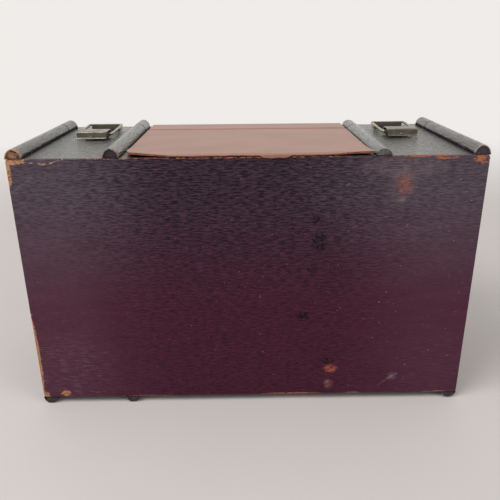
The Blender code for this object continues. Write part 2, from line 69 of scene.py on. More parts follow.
# Leatherette
SKIN = 0.001
SKIN_CORNER = 0.0025
SKIN_RIM = 0.0009
SEAL_SPACING = 0.00105
SEAL_LENGTH = 0.0060
SKIN_WAVE = 0.00022
WORN_DEPTH = 0.0003
FOLD_STEP = 0.0004
FOLD_LINE_WIDTH = 0.0005
RIM_TURNS = (0.0, 0.4, 0.75, 1.1, math.pi / 2)
BAND_SPACING = 0.003
BAND_EASE = 0.0003

# Heights between which the leatherette turns from purple to grey; the purple low down is painted pinkish
# reflected light
BACK_PAINTED_LIGHT_HEIGHTS = (0.080, 0.200)
PLAIN_PAINTED_LIGHT_HEIGHTS = (0.060, 0.195)

# Ribs and feet
RIB_SKIN = 0.0008
RIB_END_ROUNDING = 0.006
RIB_SKIRT = 0.0004
RIB_EASE = 0.0004
RIB_SPACING = 0.0018
RIB_BUMP = 0.00012
RIB_TEAR_REACH = 0.004
FOOT_CROWN = 0.0059
RIB_STEPS = 28
RIB_GRAIN = 0.4
RIB_SMOOTH_BELOW = math.radians(50)
# Share of each rib's height along its crease darkened as painted shade
OUTER_CREASE_SHADE = 0.30
INNER_CREASE_SHADE = 0.16

# Leather panel
LEATHER = 0.0016
LEATHER_EDGE = 0.0008
LEFT_LIFT = 0.0020
RIGHT_LIFT = 0.0012
LEFT_LIFT_SPAN = 0.036
RIGHT_LIFT_SPAN = 0.045
LIFT_DEPTH = 0.036
EDGE_LIFT = 0.0006
TONGUE_X = 0.0200
TONGUE_WIDTH = 0.0150
TONGUE_LENGTH = 0.0016
RIGHT_FLARE = 0.0011
LEFT_DRAW = 0.0038
FLARE_REACH = 0.030
DRAW_REACH = 0.016
TONGUE_REACH = 0.012
THIN_REACH = 0.006
HANG_GAP = 0.0002
HANG_BEND = 0.0008
HANG_SHARE = 0.92
PARTING_ROLL = 0.0008
PARTING_REACH = 0.0026
FAR_ROLL = 0.0005
FAR_REACH = 0.002
LEATHER_WAVE = 0.00035
LEATHER_RAG = 0.0002
LEATHER_EASE = 0.00022

# Latches and hinges
SHEET = 0.001
LEVER_SHEET = 0.0007
SHEET_EASE = 0.00014
EASED_ABOVE = math.radians(60)
LEVER_REACH = 0.018
LATCH_BEND = 0.0012
LEVER_BEND = 0.0006
LIP_DROP = 0.0002
LIP_UPTURN = 0.0002
CURL_END = 0.0016
NOTCH = 0.0054
NOTCH_REACH = 0.0026
BASE_TONGUE = 0.005
BASE_BEND = 0.0015
LINK_STRAP = 0.0017
STRAP_PLACE = 0.62
STRAP_HALF = 0.3
LEVER_DENT = 0.00012
PIP_RADIUS = 0.0008
PIP_FLAT = 0.45
WIRE_RADIUS = 0.00115
WIRE_SET = 0.001
BAR_RISE = 0.0011
WIRE_CORNER = 0.002
WIRE_SIDES = 14
NAIL_HEAD = 0.0015
NAIL_DOME = 0.0011
NAIL_SHANK = 0.0005
KNUCKLE_CLEAR = 0.0024
KNUCKLE_END = 0.0014
KNUCKLE_SPLIT = 0.0072
KNUCKLE_GAP = 0.0002
SCREW_RADIUS = 0.0023
SCREW_DOME = 0.0005
SLOT_WIDTH = 0.0006
SLOT_FLOOR = 0.0001
SCREW_SUNK = 0.0004
SCREW_SIDES = 28
SCREW_OUT = 0.6

# How much the catch's hook and the lever's top stand above their solids
HOOK_RISE = 0.0014
LEVER_RISE = 0.0010

# Each screw's place across its leaf, and the turn of its slot
SCREW_PLACES = ((-0.011, 0.5), (0.011, 1.9))

# Felt pad
PAD_RIM = 0.0062
PAD_RIM_ROUND = 0.005
PAD_CROWN_SPAN = 0.055
PAD_DRAW = 0.0018
PAD_DIMPLE = 0.0004

# Camera, as solved from the box's corners
CAMERA_PLACE = (-0.00348, -0.48549, 0.29804)
CAMERA_TURN = (68.927, 0.445, -0.726)
CAMERA_LENS = 39.945
CAMERA_SENSOR = 36.0

SMOOTH_BELOW = math.radians(35)

# Small helpers


def smooth_step(low, high, value):
    share = min(max((value - low) / (high - low), 0.0), 1.0)
    return share * share * (3 - 2 * share)


def ripple(place, size, seed=0.0):
    """Even noise between -1 and 1, with bumps of about the given size."""
    return noise.noise(Vector(place) / size + Vector((seed, 2 * seed, 3 * seed)))


def along(points, value):
    """The height at a value on a line of (place, height) points."""
    if value <= points[0][0]:
        return points[0][1]
    for (left, low), (right, high) in zip(points, points[1:]):
        if value <= right:
            return low + (high - low) * (value - left) / (right - left)
    return points[-1][1]


def crowd(share, pull=0.75):
    """Moves evenly spaced places from -1 to 1 closer together near both ends."""
    return share * (1 - pull) + pull * math.sin(share * math.pi / 2)


def steps_between(low, high, spacing):
    """Evenly spaced places from one value to another, both included."""
    count = max(1, round(abs(high - low) / spacing))
    return [low + (high - low) * step / count for step in range(count + 1)]


# Finishes


class Recipe:
    """The nodes of a finish or of the world, added by short calls."""

    def __init__(self, owner, shader="Principled BSDF"):
        owner.use_nodes = True
        self.owner = owner
        self.nodes = owner.node_tree.nodes
        self.links = owner.node_tree.links
        self.shader = self.nodes[shader]

    def feed(self, socket, value):
        if isinstance(value, bpy.types.NodeSocket):
            self.links.new(value, socket)
        else:
            socket.default_value = value

    def fill(self, node, inputs):
        """Feeds a node's inputs, named in lower case."""
        for name, value in inputs.items():
            title = {"ior_level": "Specular IOR Level"}.get(name, name.replace("_", " ").title())
            self.feed(node.inputs[title], value)

    def set(self, **inputs):
        """Feeds the shader's inputs."""
        self.fill(self.shader, inputs)

    def add(self, kind, **inputs):
        node = self.nodes.new(f"ShaderNode{kind}")
        self.fill(node, inputs)
        return node

    def stretched(self, vector, scale):
        return self.add("Mapping", vector=vector, scale=scale).outputs["Vector"]

    def place(self, scale=(1, 1, 1)):
        return self.stretched(self.add("TexCoord").outputs["Object"], scale)

    def facing(self):
        return self.add("TexCoord").outputs["Normal"]

    def attribute(self, name):
        node = self.add("Attribute")
        node.attribute_name = name
        return node.outputs["Vector"]

    def split(self, vector):
        return self.add("SeparateXYZ", vector=vector).outputs

    def noise(self, vector, scale=1.0, detail=2.0, roughness=0.5, distortion=0.0):
        settings = {"scale": scale, "detail": detail, "roughness": roughness, "distortion": distortion}
        return self.add("TexNoise", vector=vector, **settings).outputs["Fac"]

    def bands(self, vector, scale, distortion, direction):
        node = self.add("TexWave", vector=vector, scale=scale, distortion=distortion)
        node.bands_direction = direction
        return node.outputs["Fac"]

    def step(self, value, low, high):
        """Rises smoothly from 0 to 1 between two values."""
        node = self.add("MapRange", value=value, from_min=low, from_max=high)
        node.interpolation_type = "SMOOTHSTEP"
        return node.outputs["Result"]

    def range(self, value, low, high, start=0.0, end=1.0):
        """Goes evenly from low to high as a value goes from start to end."""
        limits = {"from_min": start, "from_max": end, "to_min": low, "to_max": high}
        return self.add("MapRange", value=value, **limits).outputs["Result"]

    def work(self, operation, first, second=0.0):
        node = self.add("Math")
        node.operation = operation
        self.feed(node.inputs[0], first)
        self.feed(node.inputs[1], second)
        return node.outputs["Value"]

    def mix(self, share, first, second, kind="MIX"):
        """A colour between two others, or one laid over the other."""
        node = self.add("Mix", factor=share)
        node.data_type = "RGBA"
        node.blend_type = kind
        for name, value in (("A", first), ("B", second)):
            socket = next(s for s in node.inputs if s.name == name and s.type == "RGBA")
            self.feed(socket, value if isinstance(value, bpy.types.NodeSocket) else (*value, 1.0))
        return next(s for s in node.outputs if s.type == "RGBA")

    def blend(self, share, first, second):
        """A number between two others."""
        return self.add("Mix", factor=share, a=first, b=second).outputs["Result"]

    def cover(self, share, under, over):
        """One shader showing through another."""
        node = self.add("MixShader")
        for socket, value in zip(node.inputs, (share, under, over)):
            self.feed(socket, value)
        return node.outputs["Shader"]

    def bump(self, height, distance, strength=1.0, under=None):
        node = self.add("Bump", height=height, distance=distance, strength=strength)
        if under is not None:
            self.feed(node.inputs["Normal"], under)
        return node.outputs["Normal"]


# The purple of the low colours is painted pinkish reflected light on the dark leatherette
PURPLE = (0.059, 0.0068, 0.0255)
RUBBED_PURPLE = (0.080, 0.0175, 0.0415)
Skin = namedtuple("Skin", "low high rubbed_low rubbed_high")
FACE_SKIN = Skin(PURPLE, (0.039, 0.0180, 0.0325), RUBBED_PURPLE, (0.090, 0.064, 0.086))
TOP_SKIN = Skin(PURPLE, (0.046, 0.045, 0.038), RUBBED_PURPLE, (0.092, 0.090, 0.078))
# Painted shade in the valleys of the seal grain and painted highlights on its ridges, multiplied into the
# skin's colour
PAINTED_VALLEY_SHADE = (0.22, 0.16, 0.22)
PAINTED_RIDGE_HIGHLIGHT = (1.58, 1.66, 1.64)
TAN_BACKING = (0.48, 0.265, 0.145)
RED_BACKING = (0.38, 0.112, 0.056)
DARK_BACKING = (0.12, 0.040, 0.026)
RED_BLUSH = (0.42, 0.105, 0.058)
# Pale streaks painted as the sheen off raised grain
SHEEN_STREAK = (0.165, 0.090, 0.128)
CHALK = (0.44, 0.35, 0.345)
PALE_SPECK = (0.38, 0.31, 0.30)
# Black of the stains, also used as painted shade in the ribs' creases
STAIN_AND_SHADE_BLACK = (0.007, 0.003, 0.005)
DRAG_DARK = (0.75, 0.75, 0.75)
DRAG_PALE = (1.25, 1.25, 1.25)

# Repeats in a metre, along and across the grain
SEAL_SCALE = (1 / SEAL_LENGTH, 1 / SEAL_SPACING, 1)
PORE_SCALE = (380, 1300, 1)
FIBRE_SCALE = (340, 620, 1)
DRAG_SCALE = (22, 130, 1)
STREAK_SCALE = (110, 1000, 1)
CLOUD_SCALE = (28, 28, 46)
SPATTER_SCALE = 420


def skin_colour_and_light(recipe, skin, ridge, drag, cloud):
    """The skin's colour with light painted in: painted shade in the valleys of its grain and painted
    highlights on its ridges, flatter and paler where it is rubbed; the purple low down is painted pinkish
    reflected light.
    """
    # high fades out the painted pinkish reflected light of the low colours
    rubbed, high, _ = recipe.split(recipe.attribute("rubbing"))
    base = recipe.mix(
        recipe.work("MULTIPLY", rubbed, recipe.range(cloud, 0.75, 1.25)),
        recipe.mix(high, skin.low, skin.high),
        recipe.mix(high, skin.rubbed_low, skin.rubbed_high),
    )
    # Painted shade in the grain's valleys and painted highlights on its ridges
    shade = recipe.mix(ridge, PAINTED_VALLEY_SHADE, PAINTED_RIDGE_HIGHLIGHT)
    # The painted grain light fades out lower down, and where the skin is rubbed
    flat = recipe.work("ADD", recipe.work("MULTIPLY", rubbed, 0.55), recipe.range(high, 0.45, 0.0))
    base = recipe.mix(1.0, base, recipe.mix(flat, shade, (1, 1, 1)), "MULTIPLY")
    return recipe.mix(1.0, base, recipe.mix(drag, DRAG_DARK, DRAG_PALE), "MULTIPLY")


def aged_colour(recipe, base, grain, pores, spatter, stains_and_shade):
    """Painted sheen streaks, blushes, chalk, specks and stains, laid over the skin's colour one by one. On
    the ribs the stains also paint the shade in their creases.
    """
    blush, chalk, sheen_streaked = recipe.split(recipe.attribute("fading"))
    speckled = recipe.split(recipe.attribute("rubbing"))["Z"]
    lines = recipe.noise(recipe.stretched(grain, STREAK_SCALE), 1.0, 3.0, 0.6)
    dots = recipe.noise(recipe.place(), SPATTER_SCALE, 1.0, 0.4)
    layers = (
        # Pale streaks painted as the sheen off raised grain
        (recipe.step(lines, 0.48, 0.72), sheen_streaked, SHEEN_STREAK),
        (blush, recipe.range(spatter, -1.6, 3.2), RED_BLUSH),
        (chalk, recipe.range(pores, 0.1, 1.2), CHALK),
        (recipe.step(dots, 0.745, 0.79), speckled, PALE_SPECK),
        (stains_and_shade, 0.85, STAIN_AND_SHADE_BLACK),
    )
    for mark, share, colour in layers:
        base = recipe.mix(recipe.work("MULTIPLY", mark, share), base, colour)
    return base


def leatherette_finish(name, skin, gloss, smooth_ridge, rough_valley, relief, polish):
    """Seal-grained leatherette. Each piece says where it is worn through, stained, rubbed or faded, and
    where light and shade are painted on it.
    """
    recipe = Recipe(bpy.data.materials.new(name))
    grain = recipe.attribute("grain")
    worn, red, stained = recipe.split(recipe.attribute("marks"))
    seal = recipe.noise(recipe.stretched(grain, SEAL_SCALE), 1.0, 3.0, 0.55, 0.4)
    pores = recipe.noise(recipe.stretched(grain, PORE_SCALE), 1.0, 2.0)
    ridge = recipe.step(recipe.work("ADD", seal, recipe.work("MULTIPLY", pores, 0.25)), 0.48, 0.76)
    fibres = recipe.noise(recipe.stretched(grain, FIBRE_SCALE), 1.0, 5.0, 0.65)
    through = recipe.step(recipe.work("ADD", worn, recipe.range(fibres, -1.1, 1.1)), 0.38, 0.60)
    cloud = recipe.noise(recipe.place(CLOUD_SCALE), 1.0, 3.0, 0.55)
    drag = recipe.noise(recipe.stretched(grain, DRAG_SCALE), 1.0, 3.0, 0.6)
    spatter = recipe.noise(recipe.place(), SPATTER_SCALE, 4.0, 0.6)
    # The stained share holds the real stains and, on the ribs, the painted shade in their creases
    stains_and_shade = recipe.step(recipe.work("ADD", stained, recipe.range(spatter, -1.0, 1.0)), 0.30, 0.62)
    base = skin_colour_and_light(recipe, skin, ridge, drag, cloud)
    base = aged_colour(recipe, base, grain, pores, spatter, stains_and_shade)
    bared = recipe.step(recipe.work("ADD", fibres, spatter), 0.70, 1.00)
    backing = recipe.mix(bared, DARK_BACKING, recipe.mix(red, TAN_BACKING, RED_BACKING))
    recipe.set(base_color=recipe.mix(through, base, backing))
    rough = recipe.range(ridge, rough_valley, smooth_ridge)
    rough = recipe.work("ADD", rough, recipe.range(drag, 0.08, -0.08))
    for mark, dull in ((through, 0.85), (stains_and_shade, 0.8)):
        rough = recipe.work("MAXIMUM", rough, recipe.work("MULTIPLY", mark, dull))
    recipe.set(roughness=rough, ior_level=gloss, coat_weight=polish, coat_roughness=0.20)
    broad = recipe.bump(cloud, 0.0012, 0.3 * relief)
    height = recipe.work("MULTIPLY", ridge, recipe.range(through, 1.0, 0.25))
    relief_normal = recipe.bump(height, 0.00024, relief, broad)
    recipe.set(normal=relief_normal, coat_normal=relief_normal)
    return recipe.owner


def bare_wood_finish(name, grain_axis, ply_axis, pale, dark, ply=0.0015):
    """Bare plywood: streaks along the grain, and the ply layers showing on its edges."""
    recipe = Recipe(bpy.data.materials.new(name))
    streak_scale = [420.0, 420.0, 420.0]
    streak_scale["XYZ".index(grain_axis)] = 16.0
    streaks = recipe.noise(recipe.place(streak_scale), 1.0, 4.0, 0.6, 0.4)
    figure_scale = [26.0, 26.0, 26.0]
    figure_scale["XYZ".index(grain_axis)] = 2.6
    figure = recipe.noise(recipe.place(figure_scale), 1.0, 3.0, 0.55, 1.2)
    wood = recipe.mix(recipe.step(figure, 0.30, 0.70), dark, pale)
    fleck = recipe.step(streaks, 0.35, 0.65)
    wood = recipe.mix(fleck, tuple(0.62 * c for c in dark), wood)
    layer_scale = [0.0, 0.0, 0.0]
    layer_scale["XYZ".index(ply_axis)] = 1.0
    layers = recipe.bands(recipe.place(layer_scale), 0.5 / ply, 0.6, ply_axis)
    facing = recipe.split(recipe.facing())["XYZ".index(ply_axis)]
    edge = recipe.step(recipe.work("ABSOLUTE", facing), 0.75, 0.45)
    edge_wood = recipe.mix(recipe.step(layers, 0.35, 0.65), tuple(0.38 * c for c in pale), dark)
    recipe.set(base_color=recipe.mix(edge, wood, edge_wood), roughness=recipe.range(streaks, 0.55, 0.75))
    recipe.set(normal=recipe.bump(streaks, 0.00012, 0.5))
    return recipe.owner


RIB_PIT = (0.008, 0.005, 0.007)
RIB_DIRT = (0.058, 0.042, 0.056)
RIB_BARE = (0.40, 0.22, 0.115)
LEATHER_BROWN = (0.286, 0.120, 0.076)
LEATHER_TAN = (0.342, 0.155, 0.102)
LEATHER_RUBBED = (0.37, 0.19, 0.13)
CUT_DARK = (0.10, 0.030, 0.020)
CUT_PALE = (0.31, 0.105, 0.055)
FELT_FUZZ_SHADE = (0.02, 0.028, 0.018)
FELT_DARK = (0.045, 0.060, 0.038)
FELT_PALE = (0.075, 0.095, 0.060)


def rib_wood_finish(name, bare_above):
    """The dirty end grain of the ribs' cores, bare where the stain noise rises above a value."""
    recipe = Recipe(bpy.data.materials.new(name))
    pits = recipe.noise(recipe.place((900, 300, 900)), 1.0, 4.0, 0.65)
    stain = recipe.noise(recipe.place(), 330, 3.0, 0.55)
    bare = recipe.step(stain, bare_above, bare_above + 0.10)
    wood = recipe.mix(bare, RIB_DIRT, RIB_BARE)
    recipe.set(base_color=recipe.mix(recipe.step(pits, 0.30, 0.55), RIB_PIT, wood))
    recipe.set(roughness=0.8, normal=recipe.bump(pits, 0.0006, 0.9))
    return recipe.owner


def leather_finish():
    """Smooth brown leather with a fine grain, rubbed paler in places."""
    recipe = Recipe(bpy.data.materials.new("smooth_brown_leather"))
    pores = recipe.noise(recipe.place(), 1500, 2.0, 0.6)
    draw = recipe.noise(recipe.place((18, 90, 18)), 1.0, 3.0, 0.5)
    tan = recipe.noise(recipe.place((22, 30, 22)), 1.0, 2.0, 0.5)
    brown = recipe.mix(recipe.step(tan, 0.3, 0.75), LEATHER_BROWN, LEATHER_TAN)
    brown = recipe.mix(recipe.range(draw, 0.0, 0.35), brown, LEATHER_RUBBED)
    recipe.set(base_color=brown, roughness=recipe.range(pores, 0.29, 0.38), ior_level=0.5)
    broad = recipe.bump(draw, 0.0010, 0.20)
    recipe.set(normal=recipe.bump(pores, 0.00006, 0.5, broad))
    return recipe.owner


def cut_leather_finish():
    """The fibrous cut edge of the leather."""
    recipe = Recipe(bpy.data.materials.new("cut_leather_edge"))
    fibre = recipe.noise(recipe.place((700, 700, 1600)), 1.0, 4.0, 0.65)
    recipe.set(base_color=recipe.mix(recipe.step(fibre, 0.32, 0.68), CUT_DARK, CUT_PALE))
    recipe.set(roughness=0.8, normal=recipe.bump(fibre, 0.0003, 0.8))
    return recipe.owner


def metal_finish(name, clean, tarnished, smudge_size, roughness):
    """Worn plated metal: tarnish in clouds, fine scratches, duller where it is dirty."""
    recipe = Recipe(bpy.data.materials.new(name))
    cloud = recipe.noise(recipe.place(), 1 / smudge_size, 5.0, 0.62)
    tarnish = recipe.step(cloud, 0.36, 0.64)
    scratch = recipe.noise(recipe.place((2600, 160, 900)), 1.0, 2.0, 0.5)
    colour = recipe.mix(tarnish, tarnished, clean)
    colour = recipe.mix(recipe.step(scratch, 0.60, 0.74), colour, tuple(min(1.0, 1.35 * c) for c in clean))
    recipe.set(base_color=colour, metallic=1.0)
    recipe.set(roughness=recipe.range(tarnish, roughness + 0.16, roughness))
    recipe.set(normal=recipe.bump(scratch, 0.00004, 0.35, recipe.bump(cloud, 0.0002, 0.3)))
    return recipe.owner


def felt_finish():
    """Matted wool felt, with painted shade between its fibres."""
    recipe = Recipe(bpy.data.materials.new("wool_felt"))
    fuzz = recipe.noise(recipe.place(), 900, 5.0, 0.7)
    patch = recipe.noise(recipe.place(), 26, 3.0)
    wool = recipe.mix(recipe.step(patch, 0.3, 0.7), FELT_DARK, FELT_PALE)
    # Darker where the fuzz is low: painted shade between the fibres
    recipe.set(base_color=recipe.mix(recipe.range(fuzz, 0.0, 0.7), FELT_FUZZ_SHADE, wool))
    recipe.set(roughness=0.95, sheen_weight=0.35, sheen_roughness=0.5)
    recipe.set(normal=recipe.bump(fuzz, 0.0006, 0.8))
    return recipe.owner


FACE_LEATHERETTE = leatherette_finish(
    "seal_grain_leatherette",
    FACE_SKIN,
    gloss=0.20,
    smooth_ridge=0.42,
    rough_valley=0.55,
    relief=0.9,
    polish=0.0,
)
TOP_LEATHERETTE = leatherette_finish(
    "polished_leatherette",
    TOP_SKIN,
    gloss=0.70,
    smooth_ridge=0.22,
    rough_valley=0.36,
    relief=0.60,
    polish=0.45,
)
RIB_WOOD = rib_wood_finish("dirty_rib_end", 0.64)
BARE_RIB_WOOD = rib_wood_finish("bare_rib_end", 0.45)
LEATHER_FINISH = leather_finish()
CUT_LEATHER = cut_leather_finish()
BRASS = metal_finish("tarnished_brass", (0.36, 0.335, 0.28), (0.22, 0.20, 0.165), 0.007, 0.32)
RUBBED_BRASS = metal_finish("rubbed_brass", (0.58, 0.52, 0.40), (0.36, 0.32, 0.25), 0.006, 0.28)
STEEL = metal_finish("dull_steel", (0.46, 0.45, 0.43), (0.16, 0.14, 0.12), 0.005, 0.34)
RUBBED_STEEL = metal_finish("rubbed_steel", (0.66, 0.65, 0.62), (0.40, 0.38, 0.35), 0.006, 0.28)
FELT = felt_finish()
PALE_PLY = (0.52, 0.34, 0.19)
DARK_PLY = (0.36, 0.21, 0.105)
WIDE_PLYWOOD = bare_wood_finish("wide_panel_plywood", "X", "Y", PALE_PLY, DARK_PLY)
FLAT_PLYWOOD = bare_wood_finish("top_and_bottom_plywood", "X", "Z", PALE_PLY, DARK_PLY)
UPRIGHT_PLYWOOD = bare_wood_finish("upright_plywood", "Z", "X", PALE_PLY, DARK_PLY)

# Pieces


def mesh_object(bm, name, finishes):
    """Makes an object of a bmesh, in the scene."""
    mesh = bpy.data.meshes.new(name)
    bm.to_mesh(mesh)
    bm.free()
    for finish in finishes:
        mesh.materials.append(finish)
    made = bpy.data.objects.new(name, mesh)
    bpy.context.scene.collection.objects.link(made)
    return made


def add_piece(bm, name, body, nodes, finishes, smooth_below=SMOOTH_BELOW):
    """Makes a piece of a bmesh, riding on its body in place of the CAD nodes that it stands for."""
    piece = mesh_object(bm, name, finishes)
    piece.data.shade_smooth()
    piece.data.set_sharp_from_angle(angle=smooth_below)
    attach(piece, body)
    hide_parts(*nodes)
    return piece


def store(piece, **looks):
    """Keeps a vector for each point of a piece under each name, for its finish to read."""
    for name, values in looks.items():
        attribute = piece.data.attributes.new(name, "FLOAT_VECTOR", "POINT")
        attribute.data.foreach_set("vector", [number for value in values for number in value])


def face_out(bm):
    bmesh.ops.recalc_face_normals(bm, faces=bm.faces[:])


def ease(bm, edges, width):
    """Rounds edges off, and returns the new faces."""
    return bmesh.ops.bevel(
        bm,
        geom=edges,
        offset=width,
        affect="EDGES",
        segments=2,
        profile=0.5,
        material=-1,
        clamp_overlap=True,
    )["faces"]


def grow(bm, edges):
    """Extrudes edges, and returns the new vertices and the edges at the new end."""
    grown = bmesh.ops.extrude_edge_only(bm, edges=edges)["geom"]
    verts = [item for item in grown if isinstance(item, bmesh.types.BMVert)]
    moved = set(verts)
    ends = [item for item in grown if isinstance(item, bmesh.types.BMEdge) and set(item.verts) <= moved]
    return verts, ends


def gather(bm, shell):
    """Adds a finished shell to a bmesh."""
    mesh = bpy.data.meshes.new("shell")
    shell.to_mesh(mesh)
    shell.free()
    bm.from_mesh(mesh)
    bpy.data.meshes.remove(mesh)


def loft(bm, rings, closed=False):
    """Extrudes the first ring of points through the others, capping both ends or joining them up."""
    order = bm.verts.layers.int.new("order")
    verts = [bm.verts.new(point) for point in rings[0]]
    for index, vert in enumerate(verts):
        vert[order] = index
    edges = [bm.edges.new(pair) for pair in zip(verts, verts[1:] + verts[:1])]
    first = edges
    for ring in rings[1:]:
        verts, edges = grow(bm, edges)
        for vert in verts:
            vert.co = ring[vert[order]]
    if closed:
        bmesh.ops.bridge_loops(bm, edges=first + edges)
    else:
        bmesh.ops.edgeloop_fill(bm, edges=first)
        bmesh.ops.edgeloop_fill(bm, edges=edges)
    face_out(bm)


def turned(profile, sides=24):
    """A shell turned about Z from a profile of (radius, height) points that starts and ends on the axis."""
    bm = bmesh.new()
    verts = [bm.verts.new((radius, 0, height)) for radius, height in profile]
    edges = [bm.edges.new(pair) for pair in zip(verts, verts[1:])]
    bmesh.ops.spin(
        bm,
        geom=verts + edges,
        cent=(0, 0, 0),
        axis=(0, 0, 1),
        angle=2 * math.pi,
        steps=sides,
        use_merge=True,
    )
    bmesh.ops.remove_doubles(bm, verts=bm.verts[:], dist=1e-6)
    face_out(bm)
    return bm


def dome(radius, height, steps):
    """The profile of a dome, from its top to its rim."""
    turns = [math.pi / 2 * step / steps for step in range(steps + 1)]
    return [(radius * math.sin(turn), height * math.cos(turn)) for turn in turns]


# Marks on the leatherette

Patch = namedtuple("Patch", "x z wide high worn red", defaults=[0.0])
BACK_PATCHES = (
    Patch(-0.1745, 0.2138, 0.0085, 0.0034, 1.00, 0.05),
    Patch(-0.1796, 0.2045, 0.0032, 0.0120, 1.00, 0.10),
    Patch(-0.1800, 0.0450, 0.0028, 0.0430, 0.95, 0.35),
    Patch(-0.1785, 0.0070, 0.0045, 0.0045, 0.90, 0.30),
    Patch(-0.1605, 0.0098, 0.0050, 0.0030, 0.74, 0.35),
    Patch(-0.1000, 0.2147, 0.0300, 0.0008, 0.46, 0.30),
    Patch(-0.0100, 0.2147, 0.0900, 0.0009, 0.50, 0.75),
    Patch(0.1300, 0.2146, 0.0200, 0.0013, 0.54, 0.95),
    Patch(0.1480, 0.2138, 0.0120, 0.0024, 0.50, 0.90),
    Patch(0.1755, 0.2118, 0.0095, 0.0042, 0.56, 0.80),
    Patch(0.0350, 0.0064, 0.0270, 0.0011, 0.66, 0.50),
    Patch(0.0880, 0.0062, 0.0075, 0.0011, 0.66, 0.40),
    Patch(0.1600, 0.0062, 0.0120, 0.0011, 0.60, 0.10),
    Patch(-0.0900, 0.0060, 0.0300, 0.0008, 0.60, 0.25),
)
BACK_STAINS = (
    Patch(0.0512, 0.1655, 0.0042, 0.0042, 0.56),
    Patch(0.0550, 0.1470, 0.0066, 0.0095, 0.58),
    Patch(0.0500, 0.1240, 0.0062, 0.0032, 0.50),
    Patch(0.0430, 0.0822, 0.0070, 0.0058, 0.58),
    Patch(0.0655, 0.0390, 0.0070, 0.0046, 0.48),
)
BACK_BLUSHES = (
    Patch(0.1178, 0.1925, 0.0080, 0.0095, 0.22),
    Patch(0.1176, 0.1915, 0.0036, 0.0052, 0.30),
    Patch(0.0686, 0.0312, 0.0056, 0.0040, 0.70),
    Patch(0.0676, 0.0155, 0.0042, 0.0050, 0.22),
)
BACK_CHALK = (
    Patch(0.1150, 0.2060, 0.0320, 0.0085, 0.14),
    Patch(0.1170, 0.1905, 0.0130, 0.0150, 0.08),
    Patch(0.0668, 0.0165, 0.0036, 0.0048, 0.12),
    Patch(0.0662, 0.0182, 0.0014, 0.0013, 0.45),
    Patch(-0.1700, 0.0750, 0.0500, 0.0750, 0.025),
    Patch(0.1220, 0.0225, 0.0046, 0.0042, 0.12),
)
# Where pale streaks are painted as the sheen off raised grain
BACK_SHEEN_STREAKS = (
    Patch(-0.1560, 0.0300, 0.0420, 0.0400, 0.75),
    Patch(0.1560, 0.0300, 0.0350, 0.0400, 0.30),
)
Scratch = namedtuple("Scratch", "x z end_x end_z wide pale")
BACK_SCRATCHES = (
    Scratch(-0.1756, 0.1914, -0.1620, 0.2010, 0.0007, 0.14),
    Scratch(0.1225, 0.0232, 0.1110, 0.0140, 0.0005, 0.20),
    Scratch(0.1192, 0.0212, 0.1256, 0.0250, 0.0010, 0.17),
    Scratch(0.1206, 0.0246, 0.1236, 0.0202, 0.0008, 0.12),
    Scratch(0.1120, 0.1795, 0.1185, 0.1812, 0.0012, 0.24),
    Scratch(0.0738, 0.1918, 0.0762, 0.1940, 0.0006, 0.25),
)
FOLD_LINE = (
    (-0.1710, 0.2125),
    (-0.1580, 0.2116),
    (-0.1510, 0.2107),
    (-0.1440, 0.2124),
    (-0.1370, 0.2145),
)


def strength(patch, x, z):
    away = math.hypot((x - patch.x) / patch.wide, (z - patch.z) / patch.high)
    return patch.worn * (1 - smooth_step(0.55, 1.3, away))


def worst(patches, x, z):
    """How far the strongest patch here is worn, and how red its backing is."""
    worn, red = 0.0, 0.0
    for patch in patches:
        here = strength(patch, x, z)
        if here > worn:
            worn, red = here, patch.red
    return worn, red


def from_edge(x, z):
    """Distance in from the outline of the box, seen from the back."""
    return min(HALF_X - abs(x), HALF_Z - abs(z - MIDDLE_Z))


def fold_distance(x, z):
    """Height above the turned-over edge near the top left corner, or None away from it."""
    if FOLD_LINE[0][0] < x < FOLD_LINE[-1][0]:
        return z - along(FOLD_LINE, x) - 0.0003 * ripple((x, 0, 0), 0.004)
    return None


def back_marks(x, z):
    """Worn, red and stained shares at a place on the back."""
    worn, red = worst(BACK_PATCHES, x, z)
    worn *= 1 + 0.30 * ripple((x, 0, z), 0.005, 3.0)
    rim = 1 - smooth_step(0.0, 0.0012, from_edge(x, z))
    rim *= 0.30 + 0.40 * ripple((x, 0, z), 0.010)
    above = fold_distance(x, z)
    if above is not None and abs(above) < FOLD_LINE_WIDTH:
        worn, red = max(worn, 0.50 + 0.35 * ripple((x, 0, 0), 0.004, 6.0)), 0.15
    stained, _ = worst(BACK_STAINS, x, z)
    return max(worn, rim), red if worn > rim else 0.4, stained


def back_rubbing(x, z):
    """Rubbed share, height share that fades out the painted pinkish reflected light, and speckled share at
    a place on the back.
    """
    inner = 0.055 - 0.045 * smooth_step(0.12, 0.19, z) * smooth_step(-0.02, 0.02, x)
    side = smooth_step(inner, 0.155, abs(x))
    return side, smooth_step(*BACK_PAINTED_LIGHT_HEIGHTS, z), 0.30 + 0.45 * smooth_step(0.02, 0.14, x)


def scratch_strength(scratch, x, z):
    """How pale a scratch is at a place, fading out past its width."""
    run_x = scratch.end_x - scratch.x
    run_z = scratch.end_z - scratch.z
    share = ((x - scratch.x) * run_x + (z - scratch.z) * run_z) / (run_x**2 + run_z**2)
    share = min(max(share, 0.0), 1.0)
    away = math.hypot(x - scratch.x - share * run_x, z - scratch.z - share * run_z)
    return scratch.pale * (1 - smooth_step(0.4, 1.5, away / scratch.wide))


